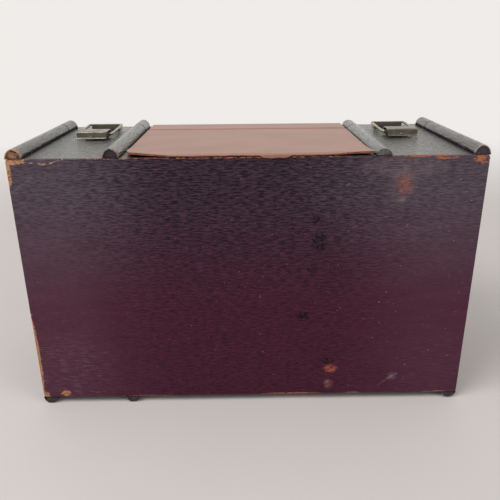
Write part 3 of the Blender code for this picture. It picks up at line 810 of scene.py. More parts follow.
def back_fading(x, z):
    """Red blush, chalky haze and pale streaks painted as sheen at a place on the back."""
    blush = sum(strength(patch, x, z) for patch in BACK_BLUSHES)
    blush *= 1 + 0.5 * ripple((x, 0, z), 0.004, 2.0)
    chalk = sum(strength(patch, x, z) for patch in BACK_CHALK)
    chalk += sum(scratch_strength(scratch, x, z) for scratch in BACK_SCRATCHES)
    sheen_streaked = sum(strength(patch, x, z) for patch in BACK_SHEEN_STREAKS)
    return min(1.0, blush), min(1.0, chalk * (1 + 0.8 * ripple((x, 0, z), 0.005, 5.0))), sheen_streaked


def no_fading(x, z):
    return 0.0, 0.0, 0.0


def plain_marks(x, z):
    """The lid's front: worn only at its rim and corners."""
    edge = from_edge(x, z)
    rim = (1 - smooth_step(0.0, 0.0020, edge)) * (0.40 + 0.40 * ripple((x, 0, z), 0.016, 4.0))
    corner = math.hypot(max(0.0, abs(x) - HALF_X + 0.008), max(0.0, abs(z - MIDDLE_Z) - HALF_Z + 0.008))
    return max(rim, smooth_step(0.0075, 0.0105, corner)), 0.35, 0.0


def plain_rubbing(x, z):
    """The lid's front: rubbed towards its sides, with painted pinkish reflected light low down that fades
    out with height.
    """
    return 0.15 + 0.55 * smooth_step(0.09, 0.0, HALF_X - abs(x)), smooth_step(*PLAIN_PAINTED_LIGHT_HEIGHTS, z), 0.35


# Leatherette pieces


def rounded(x, z, half_x, half_z, radius):
    """Draws the corners of a rectangle's grid in to a radius, about the middle of the box."""
    past_x = abs(x) - half_x + radius
    past_z = abs(z) - half_z + radius
    if past_x <= 0 or past_z <= 0:
        return x, z
    ratio = max(past_x, past_z) / math.hypot(past_x, past_z)
    x = math.copysign(half_x - radius + past_x * ratio, x)
    z = math.copysign(half_z - radius + past_z * ratio, z)
    return x, z


def outward(x, z, half_x, half_z, radius):
    """The direction out of a rounded rectangle's outline at a point on it."""
    past_x = max(0.0, abs(x) - half_x + radius)
    past_z = max(0.0, abs(z) - half_z + radius)
    if past_x > 0 and past_z > 0:
        direction = Vector((math.copysign(past_x, x), 0, math.copysign(past_z, z)))
    elif half_x - abs(x) < half_z - abs(z):
        direction = Vector((x, 0, 0))
    else:
        direction = Vector((0, 0, z))
    return direction.normalized()


def roll_rim(bm, half_x, half_z, radius, face_y, inward):
    """Rounds a sheet's rim over towards its board and closes it behind."""
    edges = [edge for edge in bm.edges if edge.is_boundary]
    for last, turn in zip(RIM_TURNS, RIM_TURNS[1:]):
        verts, edges = grow(bm, edges)
        spread = SKIN_RIM * math.sin(last)
        out = SKIN_RIM * (math.sin(turn) - math.sin(last))
        back = SKIN_RIM * (math.cos(last) - math.cos(turn))
        for vert in verts:
            across = vert.co.x, vert.co.z - MIDDLE_Z
            way = outward(*across, half_x + spread, half_z + spread, radius + spread)
            vert.co += out * way + Vector((0, inward * back, 0))
    verts, edges = grow(bm, edges)
    for vert in verts:
        vert.co.y = face_y + inward * SKIN
    bmesh.ops.edgeloop_fill(bm, edges=edges)
    face_out(bm)


def covering_sheet(name, body, node, inward, columns, rows, marks, rubbing, fading):
    """The leatherette glued over the back or over the front of the lid, its rim rounded off."""
    low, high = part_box(node)
    face_y = low.y if inward > 0 else high.y
    half_x = HALF_X - SKIN_RIM
    half_z = HALF_Z - SKIN_RIM
    radius = SKIN_CORNER - SKIN_RIM
    bm = bmesh.new()
    bmesh.ops.create_grid(bm, x_segments=columns, y_segments=rows, size=1.0)
    for vert in bm.verts:
        x, z = rounded(half_x * crowd(vert.co.x), half_z * crowd(vert.co.y), half_x, half_z, radius)
        worn, _, _ = marks(x, z + MIDDLE_Z)
        depth = WORN_DEPTH * smooth_step(0.3, 0.7, worn)
        inside = smooth_step(0.0, 0.006, from_edge(x, z + MIDDLE_Z))
        depth += SKIN_WAVE * inside * (0.5 + 0.5 * ripple((x, 0, z), 0.035, inward))
        above = fold_distance(x, z + MIDDLE_Z) if inward > 0 else None
        if above is not None:
            depth += FOLD_STEP * smooth_step(0.0, 0.0006, above)
        vert.co = (x, face_y + inward * depth, z + MIDDLE_Z)
    roll_rim(bm, half_x, half_z, radius, face_y, inward)
    piece = add_piece(bm, name, body, [node], [FACE_LEATHERETTE])
    places = [(vert.co.x, vert.co.z) for vert in piece.data.vertices]
    store(
        piece,
        grain=[(x, z, 0) for x, z in places],
        marks=[marks(x, z) for x, z in places],
        rubbing=[rubbing(x, z) for x, z in places],
        fading=[fading(x, z) for x, z in places],
    )


def rounded_outline(half_x, half_z, radius, spacing, corner_steps=6):
    """Points round a rectangle with rounded corners in XZ, with the way out at each."""
    flat_x = half_x - radius
    flat_z = half_z - radius
    points = []
    corners = ((flat_x, -flat_z, -90), (flat_x, flat_z, 0), (-flat_x, flat_z, 90), (-flat_x, -flat_z, 180))
    for x, z, start in corners:
        for step in range(corner_steps + 1):
            turn = math.radians(start + 90 * step / corner_steps)
            out = Vector((math.cos(turn), 0, math.sin(turn)))
            points.append((Vector((x, 0, z)) + radius * out, out))
        corner, out = points[-1]
        length = 2 * (flat_z if start in (-90, 90) else flat_x)
        run = out.cross(Vector((0, 1, 0)))
        count = round(length / spacing)
        points += [(corner + run * length * step / count, out) for step in range(1, count)]
    return points


def band_stations(near, far, fine=0.0005, coarse=0.003, share=0.006):
    """Places along Y, close together near both ends of a band."""
    places = steps_between(near, near + share, fine)
    places += steps_between(near + share, far - share, coarse)[1:-1]
    return places + steps_between(far - share, far, fine)


def band_grain(place):
    """Grain runs round the band: along X on top and underneath, along Z at the ends."""
    if HALF_X - abs(place.x) < 0.002:
        return place.z, place.y, 0
    return place.x, place.y, 0


def covering_band(name, body, node, near_marks, far_marks):
    """The leatherette round the four sides of the case or the lid."""
    low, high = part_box(node)
    outline = [
        (place + Vector((0, 0, MIDDLE_Z)), out)
        for place, out in rounded_outline(HALF_X, HALF_Z, SKIN_CORNER, BAND_SPACING)
    ]
    rings = [[place - SKIN * out + Vector((0, low.y, 0)) for place, out in outline]]
    for y in band_stations(low.y, high.y):
        end = min(y - low.y, high.y - y)
        inset = BAND_EASE * (1 - math.sqrt(max(0.0, 1 - (1 - min(1.0, end / BAND_EASE)) ** 2)))
        wave = SKIN_WAVE * smooth_step(0.0, 0.005, end)
        ring = []
        for place, out in outline:
            sunk = inset + wave * (0.5 + 0.5 * ripple((place.x, y, place.z), 0.03))
            ring.append(place - sunk * out + Vector((0, y, 0)))
        rings.append(ring)
    rings.append([place - SKIN * out + Vector((0, high.y, 0)) for place, out in outline])
    bm = bmesh.new()
    loft(bm, rings, closed=True)
    piece = add_piece(bm, name, body, [node], [TOP_LEATHERETTE])
    marks = []
    rubbing = []
    for vert in piece.data.vertices:
        place = vert.co
        near_worn, red, _ = near_marks(place.x, place.z)
        far_worn, far_red, _ = far_marks(place.x, place.z)
        near_worn *= 1 - smooth_step(0.0002, 0.0016, place.y - low.y)
        far_worn *= 1 - smooth_step(0.0002, 0.0016, high.y - place.y)
        marks.append((max(near_worn, far_worn), red if near_worn > far_worn else far_red, 0.0))
        # Rubbing, and the height share that fades out the painted pinkish reflected light
        rubbing.append((0.35, smooth_step(*PLAIN_PAINTED_LIGHT_HEIGHTS, place.z), 0.25))
    grain = [band_grain(vert.co) for vert in piece.data.vertices]
    store(piece, grain=grain, marks=marks, rubbing=rubbing)


def parting_marks(x, z):
    """The sawn edges at the parting: lightly worn."""
    return 0.36 + 0.3 * ripple((x, 0, z), 0.02, 7.0), 0.2, 0.0


RibEnd = namedtuple("RibEnd", "worn reach red sunk torn pale")
NEAR_RIB_ENDS = {
    "left_outer_rib": RibEnd(0.95, 0.0035, 0.10, 0.0014, 0.00030, 0.0),
    "left_inner_rib": RibEnd(0.55, 0.0022, 0.35, 0.0018, 0.00060, 0.2),
    "right_inner_rib": RibEnd(0.10, 0.0010, 0.30, 0.0001, 0.00005, 0.0),
    "right_outer_rib": RibEnd(0.30, 0.0024, 0.00, 0.0012, 0.00025, 1.0),
    "left_outer_foot": RibEnd(0.18, 0.0020, 0.30, 0.0009, 0.00010, 0.0),
    "left_inner_foot": RibEnd(0.45, 0.0012, 0.10, 0.0009, 0.00010, 0.0),
    "right_outer_foot": RibEnd(0.20, 0.0022, 0.00, 0.0009, 0.00010, 0.8),
}
PLAIN_RIB_END = RibEnd(0.30, 0.0010, 0.2, 0.0009, 0.0, 0.0)
FLUSH = 0.0002


RibForm = namedtuple("RibForm", "low high middle half up seat height end crease")


def rib_form(node, up):
    """The measures of a rib, up being 1 on top and -1 for a foot, and the wear at its near end."""
    low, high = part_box(node)
    seat = low.z - RIB_SKIRT if up > 0 else high.z + RIB_SKIRT
    return RibForm(
        low=low,
        high=high,
        middle=(low.x + high.x) / 2,
        half=(high.x - low.x) / 2,
        up=up,
        seat=seat,
        height=high.z - seat if up > 0 else FOOT_CROWN + RIB_SKIRT,
        end=NEAR_RIB_ENDS.get(node, PLAIN_RIB_END),
        crease=OUTER_CREASE_SHADE if "outer" in node else INNER_CREASE_SHADE,
    )


def rib_section(form, y, inset=0.0, size=1.0):
    """Points over the half round at one place along a rib. A foot is worn flat where it stands."""
    tear = form.end.torn * (1 - smooth_step(0.0, RIB_TEAR_REACH, y - form.low.y))
    ring = []
    for step in range(RIB_STEPS + 1):
        turn = math.pi * step / RIB_STEPS
        x = (form.half - inset) * size * math.cos(turn)
        rise = inset * 0.5 + (form.height - 1.5 * inset) * size * math.sin(turn)
        bumps = RIB_BUMP * ripple((3 * x, y, 3 * rise), 0.030, form.middle)
        bumps += tear * ripple((x, y, rise), 0.0022, 9.0)
        z = form.seat + form.up * (rise + bumps * math.sin(turn))
        ring.append(Vector((form.middle + x, y, z if form.up > 0 else max(z, form.low.z))))
    return ring


def rib_rings(form, rounded_far):
    """Sections from the core sunk in the near end to the far end, which is rounded off or sunk as well."""
    near, far = form.low.y, form.high.y
    rings = [rib_section(form, near + form.end.sunk, RIB_SKIN)]
    rings.append(rib_section(form, near + RIB_EASE / 2, RIB_SKIN))
    rings.append(rib_section(form, near, RIB_SKIN / 2))
    rounding = min(RIB_END_ROUNDING, form.height)
    last = far - rounding if rounded_far else far - RIB_EASE
    rings += [rib_section(form, y) for y in steps_between(near + RIB_EASE, last, RIB_SPACING)]
    if rounded_far:
        for step in range(1, 8):
            turn = math.pi / 2 * step / 8
            y = far - rounding * (1 - math.sin(turn))
            rings.append(rib_section(form, y, 0.0, 1 - rounding / form.height * (1 - math.cos(turn))))
    else:
        rings.append(rib_section(form, far, RIB_SKIN / 2))
        rings.append(rib_section(form, far - RIB_EASE / 2, RIB_SKIN))
        rings.append(rib_section(form, far - PLAIN_RIB_END.sunk, RIB_SKIN))
    return rings


def rib_looks(form, place):
    """Grain, marks with the painted shade in the crease, rubbing and painted light, and fading at a point
    of a rib.
    """
    into = place.y - form.low.y
    rise = abs(place.z - form.seat) / form.height
    turn = math.atan2(rise, (place.x - form.middle) / form.half)
    reach = form.end.reach * (1 + 0.7 * ripple(place, 0.004, 2.0))
    worn = form.end.worn * (1 - smooth_step(0.5, 1.2, into / reach)) * (0.35 + 0.65 * rise)
    far_worn = 0.35 * (1 - smooth_step(0.0, 0.0008, form.high.y - place.y))
    # Painted shade in the crease at the rib's foot, stored as a stain
    crease_shade = 0.75 * (1 - smooth_step(0.6 * form.crease, 1.1 * form.crease, rise))
    chalk = form.end.pale * (1 - smooth_step(0.4, 1.3, into / reach))
    return {
        "grain": (place.y * RIB_GRAIN, turn * (form.half + form.height) / 2, 0),
        "marks": (max(worn, far_worn), form.end.red, crease_shade),
        "rubbing": (0.35, 1.0 if form.up > 0 else 0.2, 0.2),
        "fading": (0.0, chalk, 0.0),
    }


def rib(name, body, node, up=1, rounded_far=False):
    """A half-round rib in its leatherette skin, with painted shade in the crease, its core showing at the
    ends.
    """
    form = rib_form(node, up)
    halfway = (form.low.y + form.high.y) / 2
    bm = bmesh.new()
    loft(bm, rib_rings(form, rounded_far))
    for face in bm.faces:
        centre = face.calc_center_median()
        covered = form.end.sunk < FLUSH if centre.y < halfway else rounded_far
        if len(face.verts) > 4 and not covered:
            face.material_index = 1
        # Faces low in the crease get the darker, duller face leatherette as painted shade
        elif len(face.verts) == 4 and abs(centre.z - form.seat) < form.crease * form.height:
            face.material_index = 2
    wood = BARE_RIB_WOOD if node == "left_outer_rib" else RIB_WOOD
    finishes = [TOP_LEATHERETTE, wood, FACE_LEATHERETTE]
    piece = add_piece(bm, name, body, [node], finishes, RIB_SMOOTH_BELOW)
    looks = [rib_looks(form, vert.co) for vert in piece.data.vertices]
    store(piece, **{look: [point[look] for point in looks] for look in looks[0]})


covering_sheet(
    "back_leatherette",
    "case",
    "back_cover",
    inward=1,
    columns=380,
    rows=230,
    marks=back_marks,
    rubbing=back_rubbing,
    fading=back_fading,
)
covering_sheet(
    "lid_leatherette",
    "lid",
    "lid_cover",
    inward=-1,
    columns=150,
    rows=90,
    marks=plain_marks,
    rubbing=plain_rubbing,
    fading=no_fading,
)
covering_band("case_leatherette_band", "case", "case_wrap", back_marks, parting_marks)
covering_band("lid_leatherette_band", "lid", "lid_wrap", parting_marks, plain_marks)
for place in RIBS:
    rib(f"{place}_half_round", "case", f"{place}_rib")
    rib(f"{place}_foot_half_round", "case", f"{place}_foot", up=-1)
    rib(f"lid_{place}_half_round", "lid", f"lid_{place}_rib", rounded_far=True)

# Leather on top


def leather_lift(x, into):
    """How far the near edge stands off at a place, into being the distance from that edge."""
    left = smooth_step(LEFT_LIFT_SPAN, 0.0, x - LEATHER_LOW.x) * LEFT_LIFT
    right = smooth_step(RIGHT_LIFT_SPAN, 0.0, LEATHER_HIGH.x - x) * RIGHT_LIFT
    edge = EDGE_LIFT * (0.7 + 0.6 * ripple((x, 0, 0), 0.018, 1.0)) * smooth_step(0.010, 0.0, into)
    return (left + right) * smooth_step(LIFT_DEPTH, 0.0, into) + edge


def tongue(x):
    """Length of the torn edge that hangs over the case's edge."""
    share = max(0.0, 1 - abs(x - TONGUE_X) / TONGUE_WIDTH)
    tear = 0.0006 * ripple((x, 0, 0), 0.005) + 0.0004 * ripple((x, 0, 0), 0.0022)
    middle = smooth_step(0.085, 0.05, abs(x - 0.005))
    return TONGUE_LENGTH * smooth_step(0.0, 0.6, share) + middle * (0.0008 + tear)


def leather_point(low, high, across, along_share, torn):
    """A place on the underside of a leather sheet, and the way from there through to its upper side."""
    y = low.y + (crowd(along_share, 0.6) + 1) / 2 * (high.y - low.y)
    half = high.x + LEATHER_RAG * ripple((0, y, across), 0.008)
    x = half * crowd(across, 0.5)
    z = low.z
    into = y - low.y
    thick = LEATHER
    drop = 0.0
    if torn:
        if x > 0:
            x += RIGHT_FLARE * smooth_step(0.5 * half, half, x) * smooth_step(FLARE_REACH, 0.0, into)
        else:
            x += LEFT_DRAW * smooth_step(0.6 * half, half, -x) * smooth_step(DRAW_REACH, 0.0, into)
        y -= tongue(x) * smooth_step(TONGUE_REACH, 0.0, into)
        z += leather_lift(x, into)
        flat = 1 - smooth_step(0.05, 0.09, abs(x - 0.002))
        thick -= (LEATHER - LEATHER_EDGE) * flat * smooth_step(THIN_REACH, 0.0, into)
        drop = max(0.0, NEAR_Y - HANG_GAP - y)
        y += drop * HANG_SHARE
    to_far = high.y - y
    thick -= PARTING_ROLL * smooth_step(PARTING_REACH, 0.0, to_far if torn else into)
    if not torn:
        thick -= FAR_ROLL * smooth_step(FAR_REACH, 0.0, to_far)
    z += LEATHER_WAVE * ripple((x, y, 0), 0.030, 3.0) * smooth_step(0.0, 0.01, min(into, to_far))
    z = max(z, low.z - drop) - drop if drop else max(z, low.z)
    bend = smooth_step(0.0, HANG_BEND, drop)
    return Vector((x, y, z)), thick * Vector((0, -bend, 1 - bend)).normalized()


def leather_sheet(name, body, node, columns, rows, torn):
    """A thick leather sheet between the inner ribs, its cut edge paler than its face."""
    low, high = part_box(node)
    bm = bmesh.new()
    bmesh.ops.create_grid(bm, x_segments=columns, y_segments=rows, size=1.0)
    grown = bmesh.ops.extrude_face_region(bm, geom=bm.faces[:])["geom"]
    upper = {item for item in grown if isinstance(item, bmesh.types.BMVert)}
    for vert in bm.verts:
        place, through = leather_point(low, high, vert.co.x, vert.co.y, torn)
        vert.co = place + through if vert in upper else place
    for face in bm.faces:
        count = sum(vert in upper for vert in face.verts)
        face.material_index = 1 if 0 < count < len(face.verts) else 0
    face_out(bm)
    rim = []
    for edge in bm.edges:
        sides = {face.material_index for face in edge.link_faces}
        if len(sides) == 2 and upper.issuperset(edge.verts):
            rim.append(edge)
    ease(bm, rim, LEATHER_EASE)
    piece = add_piece(bm, name, body, [node], [LEATHER_FINISH, CUT_LEATHER])


leather_sheet("leather_top_panel", "case", "leather_panel", columns=170, rows=90, torn=True)
leather_sheet("leather_lid_strip", "lid", "lid_leather_strip", columns=100, rows=26, torn=False)

# Bent sheet metal


def arc(centre, radius, start, end, steps, end_radius=None):
    """Points of a bend in YZ, from one angle in degrees to another, opening or closing if asked."""
    points = []
    for step in range(steps + 1):
        share = step / steps
        turn = math.radians(start + (end - start) * share)
        reach = radius + ((end_radius or radius) - radius) * share
        points.append((centre[0] + reach * math.cos(turn), centre[1] + reach * math.sin(turn)))
    return points


def draw_along(bm, edges, path):
    """Draws a sheet's end along (y, z) places."""
    for y, z in path:
        verts, edges = grow(bm, edges)
        for vert in verts:
            vert.co.y = y
            vert.co.z = z
    return edges


def draw_sheet(bm, places, path):
    """Draws a sheet from a row of places along X, and returns the edges at its end."""
    verts = [bm.verts.new((x, *path[0])) for x in places]
    row = [bm.edges.new(pair) for pair in zip(verts, verts[1:])]
    return draw_along(bm, row, path[1:])


def middle_of(edge):
    return (edge.verts[0].co + edge.verts[1].co) / 2


def thicken(bm, thickness=SHEET):
    """Gives a drawn sheet its thickness about its middle and eases its edges, which are rubbed bright."""
    face_out(bm)
    bm.normal_update()
    for vert in bm.verts:
        vert.co += vert.normal * thickness / 2
    bmesh.ops.solidify(bm, geom=bm.faces[:], thickness=thickness)
    face_out(bm)
    sharp = [edge for edge in bm.edges if edge.is_manifold and edge.calc_face_angle() > EASED_ABOVE]
    for face in ease(bm, sharp, SHEET_EASE):
        face.material_index = 1


def split_places(half, splits, spacing=0.002):
    """Places across a sheet, evenly spaced but for the splits, which are kept."""
    stops = sorted({-half, half, *splits, *(-split for split in splits)})
    places = stops[:1]
    for low, high in zip(stops, stops[1:]):
        places += steps_between(low, high, spacing)[1:]
    return places


def metal_piece(bm, name, body, nodes, place, finishes=(BRASS, RUBBED_BRASS)):
    """A piece of metal made about its own middle and moved to its place."""
    bmesh.ops.translate(bm, vec=place, verts=bm.verts[:])
    add_piece(bm, name, body, nodes, finishes)


# Latches


def link_strap(places, link, under):
    """A strap under the lever that holds the link's near bar."""
    strap = bmesh.new()
    bow = arc((link, 0), LINK_STRAP, 0, -180, 12)
    draw_sheet(strap, places, [(link + LINK_STRAP, under), *bow, (link - LINK_STRAP, under)])
    thicken(strap)
    return strap


def pip(place, flat):
    """A pressed pip, flattened one way, in the brighter rubbed brass so that it shows as a painted glint.
    """
    shell = bmesh.new()
    form = Matrix.Translation(place) @ Matrix.Diagonal((*flat, 1))
    bmesh.ops.create_icosphere(shell, subdivisions=3, radius=PIP_RADIUS, matrix=form)
    for face in shell.faces:
        face.material_index = 1
    return shell


def latch_lever(side):
    """The lever: curled round its pin, bent down at the near end and out again into a lip to lift it by."""
    node = f"{side}_latch_lever"
    low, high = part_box(node)
    pivot = PIVOTS[f"{side}_lever_turn"]
    link = PIVOTS[f"{side}_link_turn"].y - pivot.y
    half = (high.x - low.x) / 2
    curl = high.z - LEVER_SHEET / 2 - pivot.z
    top = curl + LEVER_RISE
    lip = low.z + LEVER_SHEET / 2 - pivot.z - LIP_DROP
    wall = -LEVER_REACH + LEVER_SHEET / 2
    path = arc((0, 0), CURL_END, -195, 90, 20, end_radius=curl)
    path += [(y, top) for y in steps_between(-NOTCH_REACH, wall + LEVER_BEND, 0.0022)[:-1]]
    path += arc((wall + LEVER_BEND, top - LEVER_BEND), LEVER_BEND, 90, 180, 6)
    path += arc((wall - LEVER_BEND, lip + LEVER_BEND), LEVER_BEND, 0, -90, 6)
    path += [(low.y - pivot.y + 0.0006, lip), (low.y - pivot.y, lip + LIP_UPTURN)]
    bm = bmesh.new()
    draw_sheet(bm, split_places(half, [NOTCH]), path)
    notch = []
    for face in bm.faces:
        centre = face.calc_center_median()
        if abs(centre.x) < NOTCH and centre.y > -NOTCH_REACH:
            notch.append(face)
    bmesh.ops.delete(bm, geom=notch, context="FACES")
    for vert in bm.verts:
        dent = LEVER_DENT * smooth_step(-0.003, -0.007, vert.co.y)
        vert.co.z += dent * ripple(vert.co, 0.008, pivot.x * 90)
    thicken(bm, LEVER_SHEET)
    under = top - 0.9 * LEVER_SHEET
    for middle in (-STRAP_PLACE * half, STRAP_PLACE * half):
        gather(bm, link_strap((middle - STRAP_HALF * half, middle + STRAP_HALF * half), link, under))
    gather(bm, pip((-0.1 * half, wall - LEVER_SHEET / 2, (top + 3 * lip) / 4), (1, PIP_FLAT, 1)))
    gather(bm, pip((0.42 * half, wall - 0.0022, lip + LEVER_SHEET / 2), (1, 1, PIP_FLAT)))
    metal_piece(bm, f"{side}_lever_sheet", f"{side}_lever", [node], pivot)


def latch_base(side):
    """The base plate, with a tongue curled up from it round the lever's pin."""
    node = f"{side}_latch_base"
    low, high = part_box(node)
    pivot = PIVOTS[f"{side}_lever_turn"]
    plate = low.z + SHEET / 2 - pivot.z
    near = low.y - pivot.y
    curl = -near - SHEET / 2
    root = curl + BASE_BEND
    bm = bmesh.new()
    places = split_places((high.x - low.x) / 2, [BASE_TONGUE, NOTCH])
    path = [(y, plate) for y in steps_between(high.y - pivot.y, root, 0.003)]
    edges = draw_sheet(bm, places, path)
    ears = [edge for edge in edges if abs(middle_of(edge).x) > NOTCH]
    draw_along(bm, ears, [(0.0, plate), (near, plate)])
    middle = [edge for edge in edges if abs(middle_of(edge).x) < BASE_TONGUE]
    rise = arc((root, plate + BASE_BEND), BASE_BEND, -90, -180, 6)[1:]
    draw_along(bm, middle, [*rise, *arc((0, 0), curl, 0, 280, 18)])
    thicken(bm)
    metal_piece(bm, f"{side}_base_sheet", "case", [node], pivot)


def latch_catch(side):
    """The catch on the lid: a nailed plate with a wall that the link hooks behind."""
    node = f"{side}_latch_catch"
    low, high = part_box(node)
    wall = low.y + SHEET / 2
    plate = low.z + SHEET / 2
    path = [(wall, z) for z in steps_between(high.z + HOOK_RISE, plate + LATCH_BEND, 0.001)[:-1]]
    path += arc((wall + LATCH_BEND, plate + LATCH_BEND), LATCH_BEND, 180, 270, 6)
    path += [(y, plate) for y in steps_between(wall + LATCH_BEND, high.y, 0.003)[1:]]
    bm = bmesh.new()
    draw_sheet(bm, split_places((high.x - low.x) / 2, []), path)
    thicken(bm)
    metal_piece(bm, f"{side}_catch_sheet", "lid", [node], ((low.x + high.x) / 2, 0, 0))


def latch_link(side):
    """The wire link: a long loop with flat arms, whose far bar lies behind the hook."""
    node = f"{side}_latch_link"
    low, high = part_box(node)
    near = PIVOTS[f"{side}_link_turn"]
    far = Vector((near.x, high.y - WIRE_SET, near.z + BAR_RISE))
    half = (high.x - low.x) / 2 - WIRE_SET
    path = []
    length = far.y - near.y
    for place, _ in rounded_outline(half, length / 2, WIRE_CORNER, 0.001):
        path.append(near.lerp(far, 0.5 + place.z / length) + Vector((place.x, 0, 0)))
    turns = [2 * math.pi * step / WIRE_SIDES for step in range(WIRE_SIDES)]
    rings = []
    for before, centre, after in zip(path[-1:] + path, path, path[1:] + path[:1]):
        aside = (after - before).cross(Vector((0, 0, 1))).normalized()
        up = aside.cross(after - before).normalized()
        rings.append([centre + WIRE_RADIUS * (math.cos(t) * aside + math.sin(t) * up) for t in turns])
    bm = bmesh.new()
    loft(bm, rings, closed=True)
    # The far bar gets the darker tarnished brass as painted shade where it lies behind the hook; the rest
    # is the brighter rubbed brass
    for face in bm.faces:
        face.material_index = 1 if face.calc_center_median().y > far.y - WIRE_CORNER else 0
    add_piece(bm, f"{side}_link_wire", f"{side}_link", [node], [RUBBED_BRASS, BRASS])


def round_pin(name, node, body, finish):
    """A pin along X with eased ends."""
    low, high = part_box(node)
    radius = (high.y - low.y) / 2
    half = (high.x - low.x) / 2
    slope = 0.3 * radius
    upper = [(0, half), (radius - slope, half), (radius, half - slope)]
    lower = [(radius, slope - half), (radius - slope, -half), (0, -half)]
    bm = turned(upper + lower, 20)
    bmesh.ops.rotate(bm, verts=bm.verts[:], matrix=Matrix.Rotation(math.pi / 2, 3, "Y"))
    bmesh.ops.translate(bm, vec=(low + high) / 2, verts=bm.verts[:])
    add_piece(bm, name, body, [node], [finish])


def nail(node, body):
    """A domed nail head, driven tight on its plate."""
    low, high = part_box(node)
    seat = high.z - NAIL_DOME
    shank = [(NAIL_SHANK, 0), (NAIL_SHANK, low.z - seat), (0, low.z - seat)]
    bm = turned(dome(NAIL_HEAD, NAIL_DOME, 6) + shank)
    bmesh.ops.translate(bm, vec=((low.x + high.x) / 2, (low.y + high.y) / 2, seat), verts=bm.verts[:])
    add_piece(bm, f"{node}_head", body, [node], [RUBBED_BRASS])


for side in SIDES:
    latch_base(side)
    latch_lever(side)
    latch_catch(side)
    latch_link(side)
    round_pin(f"{side}_lever_pin", f"{side}_latch_pin", "case", RUBBED_BRASS)
for number in range(1, 5):
    nail(f"base_nail_{number}", "case")
    nail(f"catch_nail_{number}", "lid")

# Hinges


def hinge_leaf(side, owner, towards):
    """A hinge leaf under the case or the lid, its knuckles rolled round the pin."""
    node = f"{side}_hinge_{owner}_leaf"
    low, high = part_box(node)
    axis = PIVOTS["lid_hinge"]
    centre = Vector(((low.x + high.x) / 2, axis.y, axis.z))
    leaf = high.z - SHEET / 2 - axis.z
    reach = high.y - axis.y if towards > 0 else axis.y - low.y
    bm = bmesh.new()
    places = split_places((high.x - low.x) / 2, [KNUCKLE_SPLIT - KNUCKLE_GAP, KNUCKLE_SPLIT + KNUCKLE_GAP])
    path = [(towards * y, leaf) for y in steps_between(reach, KNUCKLE_CLEAR, 0.003)]
    edges = draw_sheet(bm, places, path)
    if owner == "lid":
        rolled = [edge for edge in edges if abs(middle_of(edge).x) < KNUCKLE_SPLIT - KNUCKLE_GAP]
    else:
        rolled = [edge for edge in edges if abs(middle_of(edge).x) > KNUCKLE_SPLIT + KNUCKLE_GAP]
    roll = arc((0, 0), leaf, 90, -210, 20, end_radius=KNUCKLE_END)
    draw_along(bm, rolled, [(-towards * y, z) for y, z in roll])
    thicken(bm)
    finishes = (STEEL, RUBBED_STEEL)
    metal_piece(bm, f"{side}_{owner}_leaf_sheet", owner, [node], centre, finishes)
    seat = centre + Vector((0, towards * SCREW_OUT * reach, leaf - SHEET / 2))
    screws(f"{side}_{owner}_leaf_screws", owner, seat)


def screws(name, body, place):
    """Two slotted screws in a hinge leaf, their heads facing down."""
    bm = bmesh.new()
    under = [(SCREW_RADIUS, -SCREW_SUNK / 2), (0, -SCREW_SUNK / 2)]
    cheek_profile = dome(SCREW_RADIUS, SCREW_DOME, 5) + under
    core = 0.97 * SCREW_RADIUS
    core_profile = [(0, SLOT_FLOOR), (core, SLOT_FLOOR), (core, -SCREW_SUNK), (0, -SCREW_SUNK)]
    for across, slot_turn in SCREW_PLACES:
        screw = turned(core_profile, SCREW_SIDES)
        for way in (1, -1):
            cheek = turned(cheek_profile, SCREW_SIDES)
            bmesh.ops.bisect_plane(
                cheek,
                geom=cheek.verts[:] + cheek.edges[:] + cheek.faces[:],
                plane_co=(0, way * SLOT_WIDTH / 2, 0),
                plane_no=(0, way, 0),
                clear_inner=True,
            )
            bmesh.ops.holes_fill(cheek, edges=[edge for edge in cheek.edges if edge.is_boundary])
            face_out(cheek)
            gather(screw, cheek)
        turn = Matrix.Rotation(math.pi, 4, "X") @ Matrix.Rotation(slot_turn, 4, "Z")
        bmesh.ops.transform(screw, matrix=Matrix.Translation((across, 0, 0)) @ turn, verts=screw.verts[:])
        gather(bm, screw)
    metal_piece(bm, name, body, [], place, (RUBBED_STEEL,))


for side in SIDES:
    hinge_leaf(side, "case", -1)
    hinge_leaf(side, "lid", 1)
    round_pin(f"{side}_hinge_rod", f"{side}_hinge_pin", "case", STEEL)

# Bare boards, kept as the solids are


def finish_boards(finish, *names):
    for name in names:
        frame["nodes"][name].material_slots[0].material = finish


finish_boards(WIDE_PLYWOOD, "back_panel", "lid_panel")
finish_boards(UPRIGHT_PLYWOOD, "left_divider", "right_divider")
for prefix in ("", "lid_"):
    finish_boards(FLAT_PLYWOOD, f"{prefix}top_panel", f"{prefix}bottom_panel")
    finish_boards(UPRIGHT_PLYWOOD, f"{prefix}left_end_panel", f"{prefix}right_end_panel")

# Felt pad in the lid


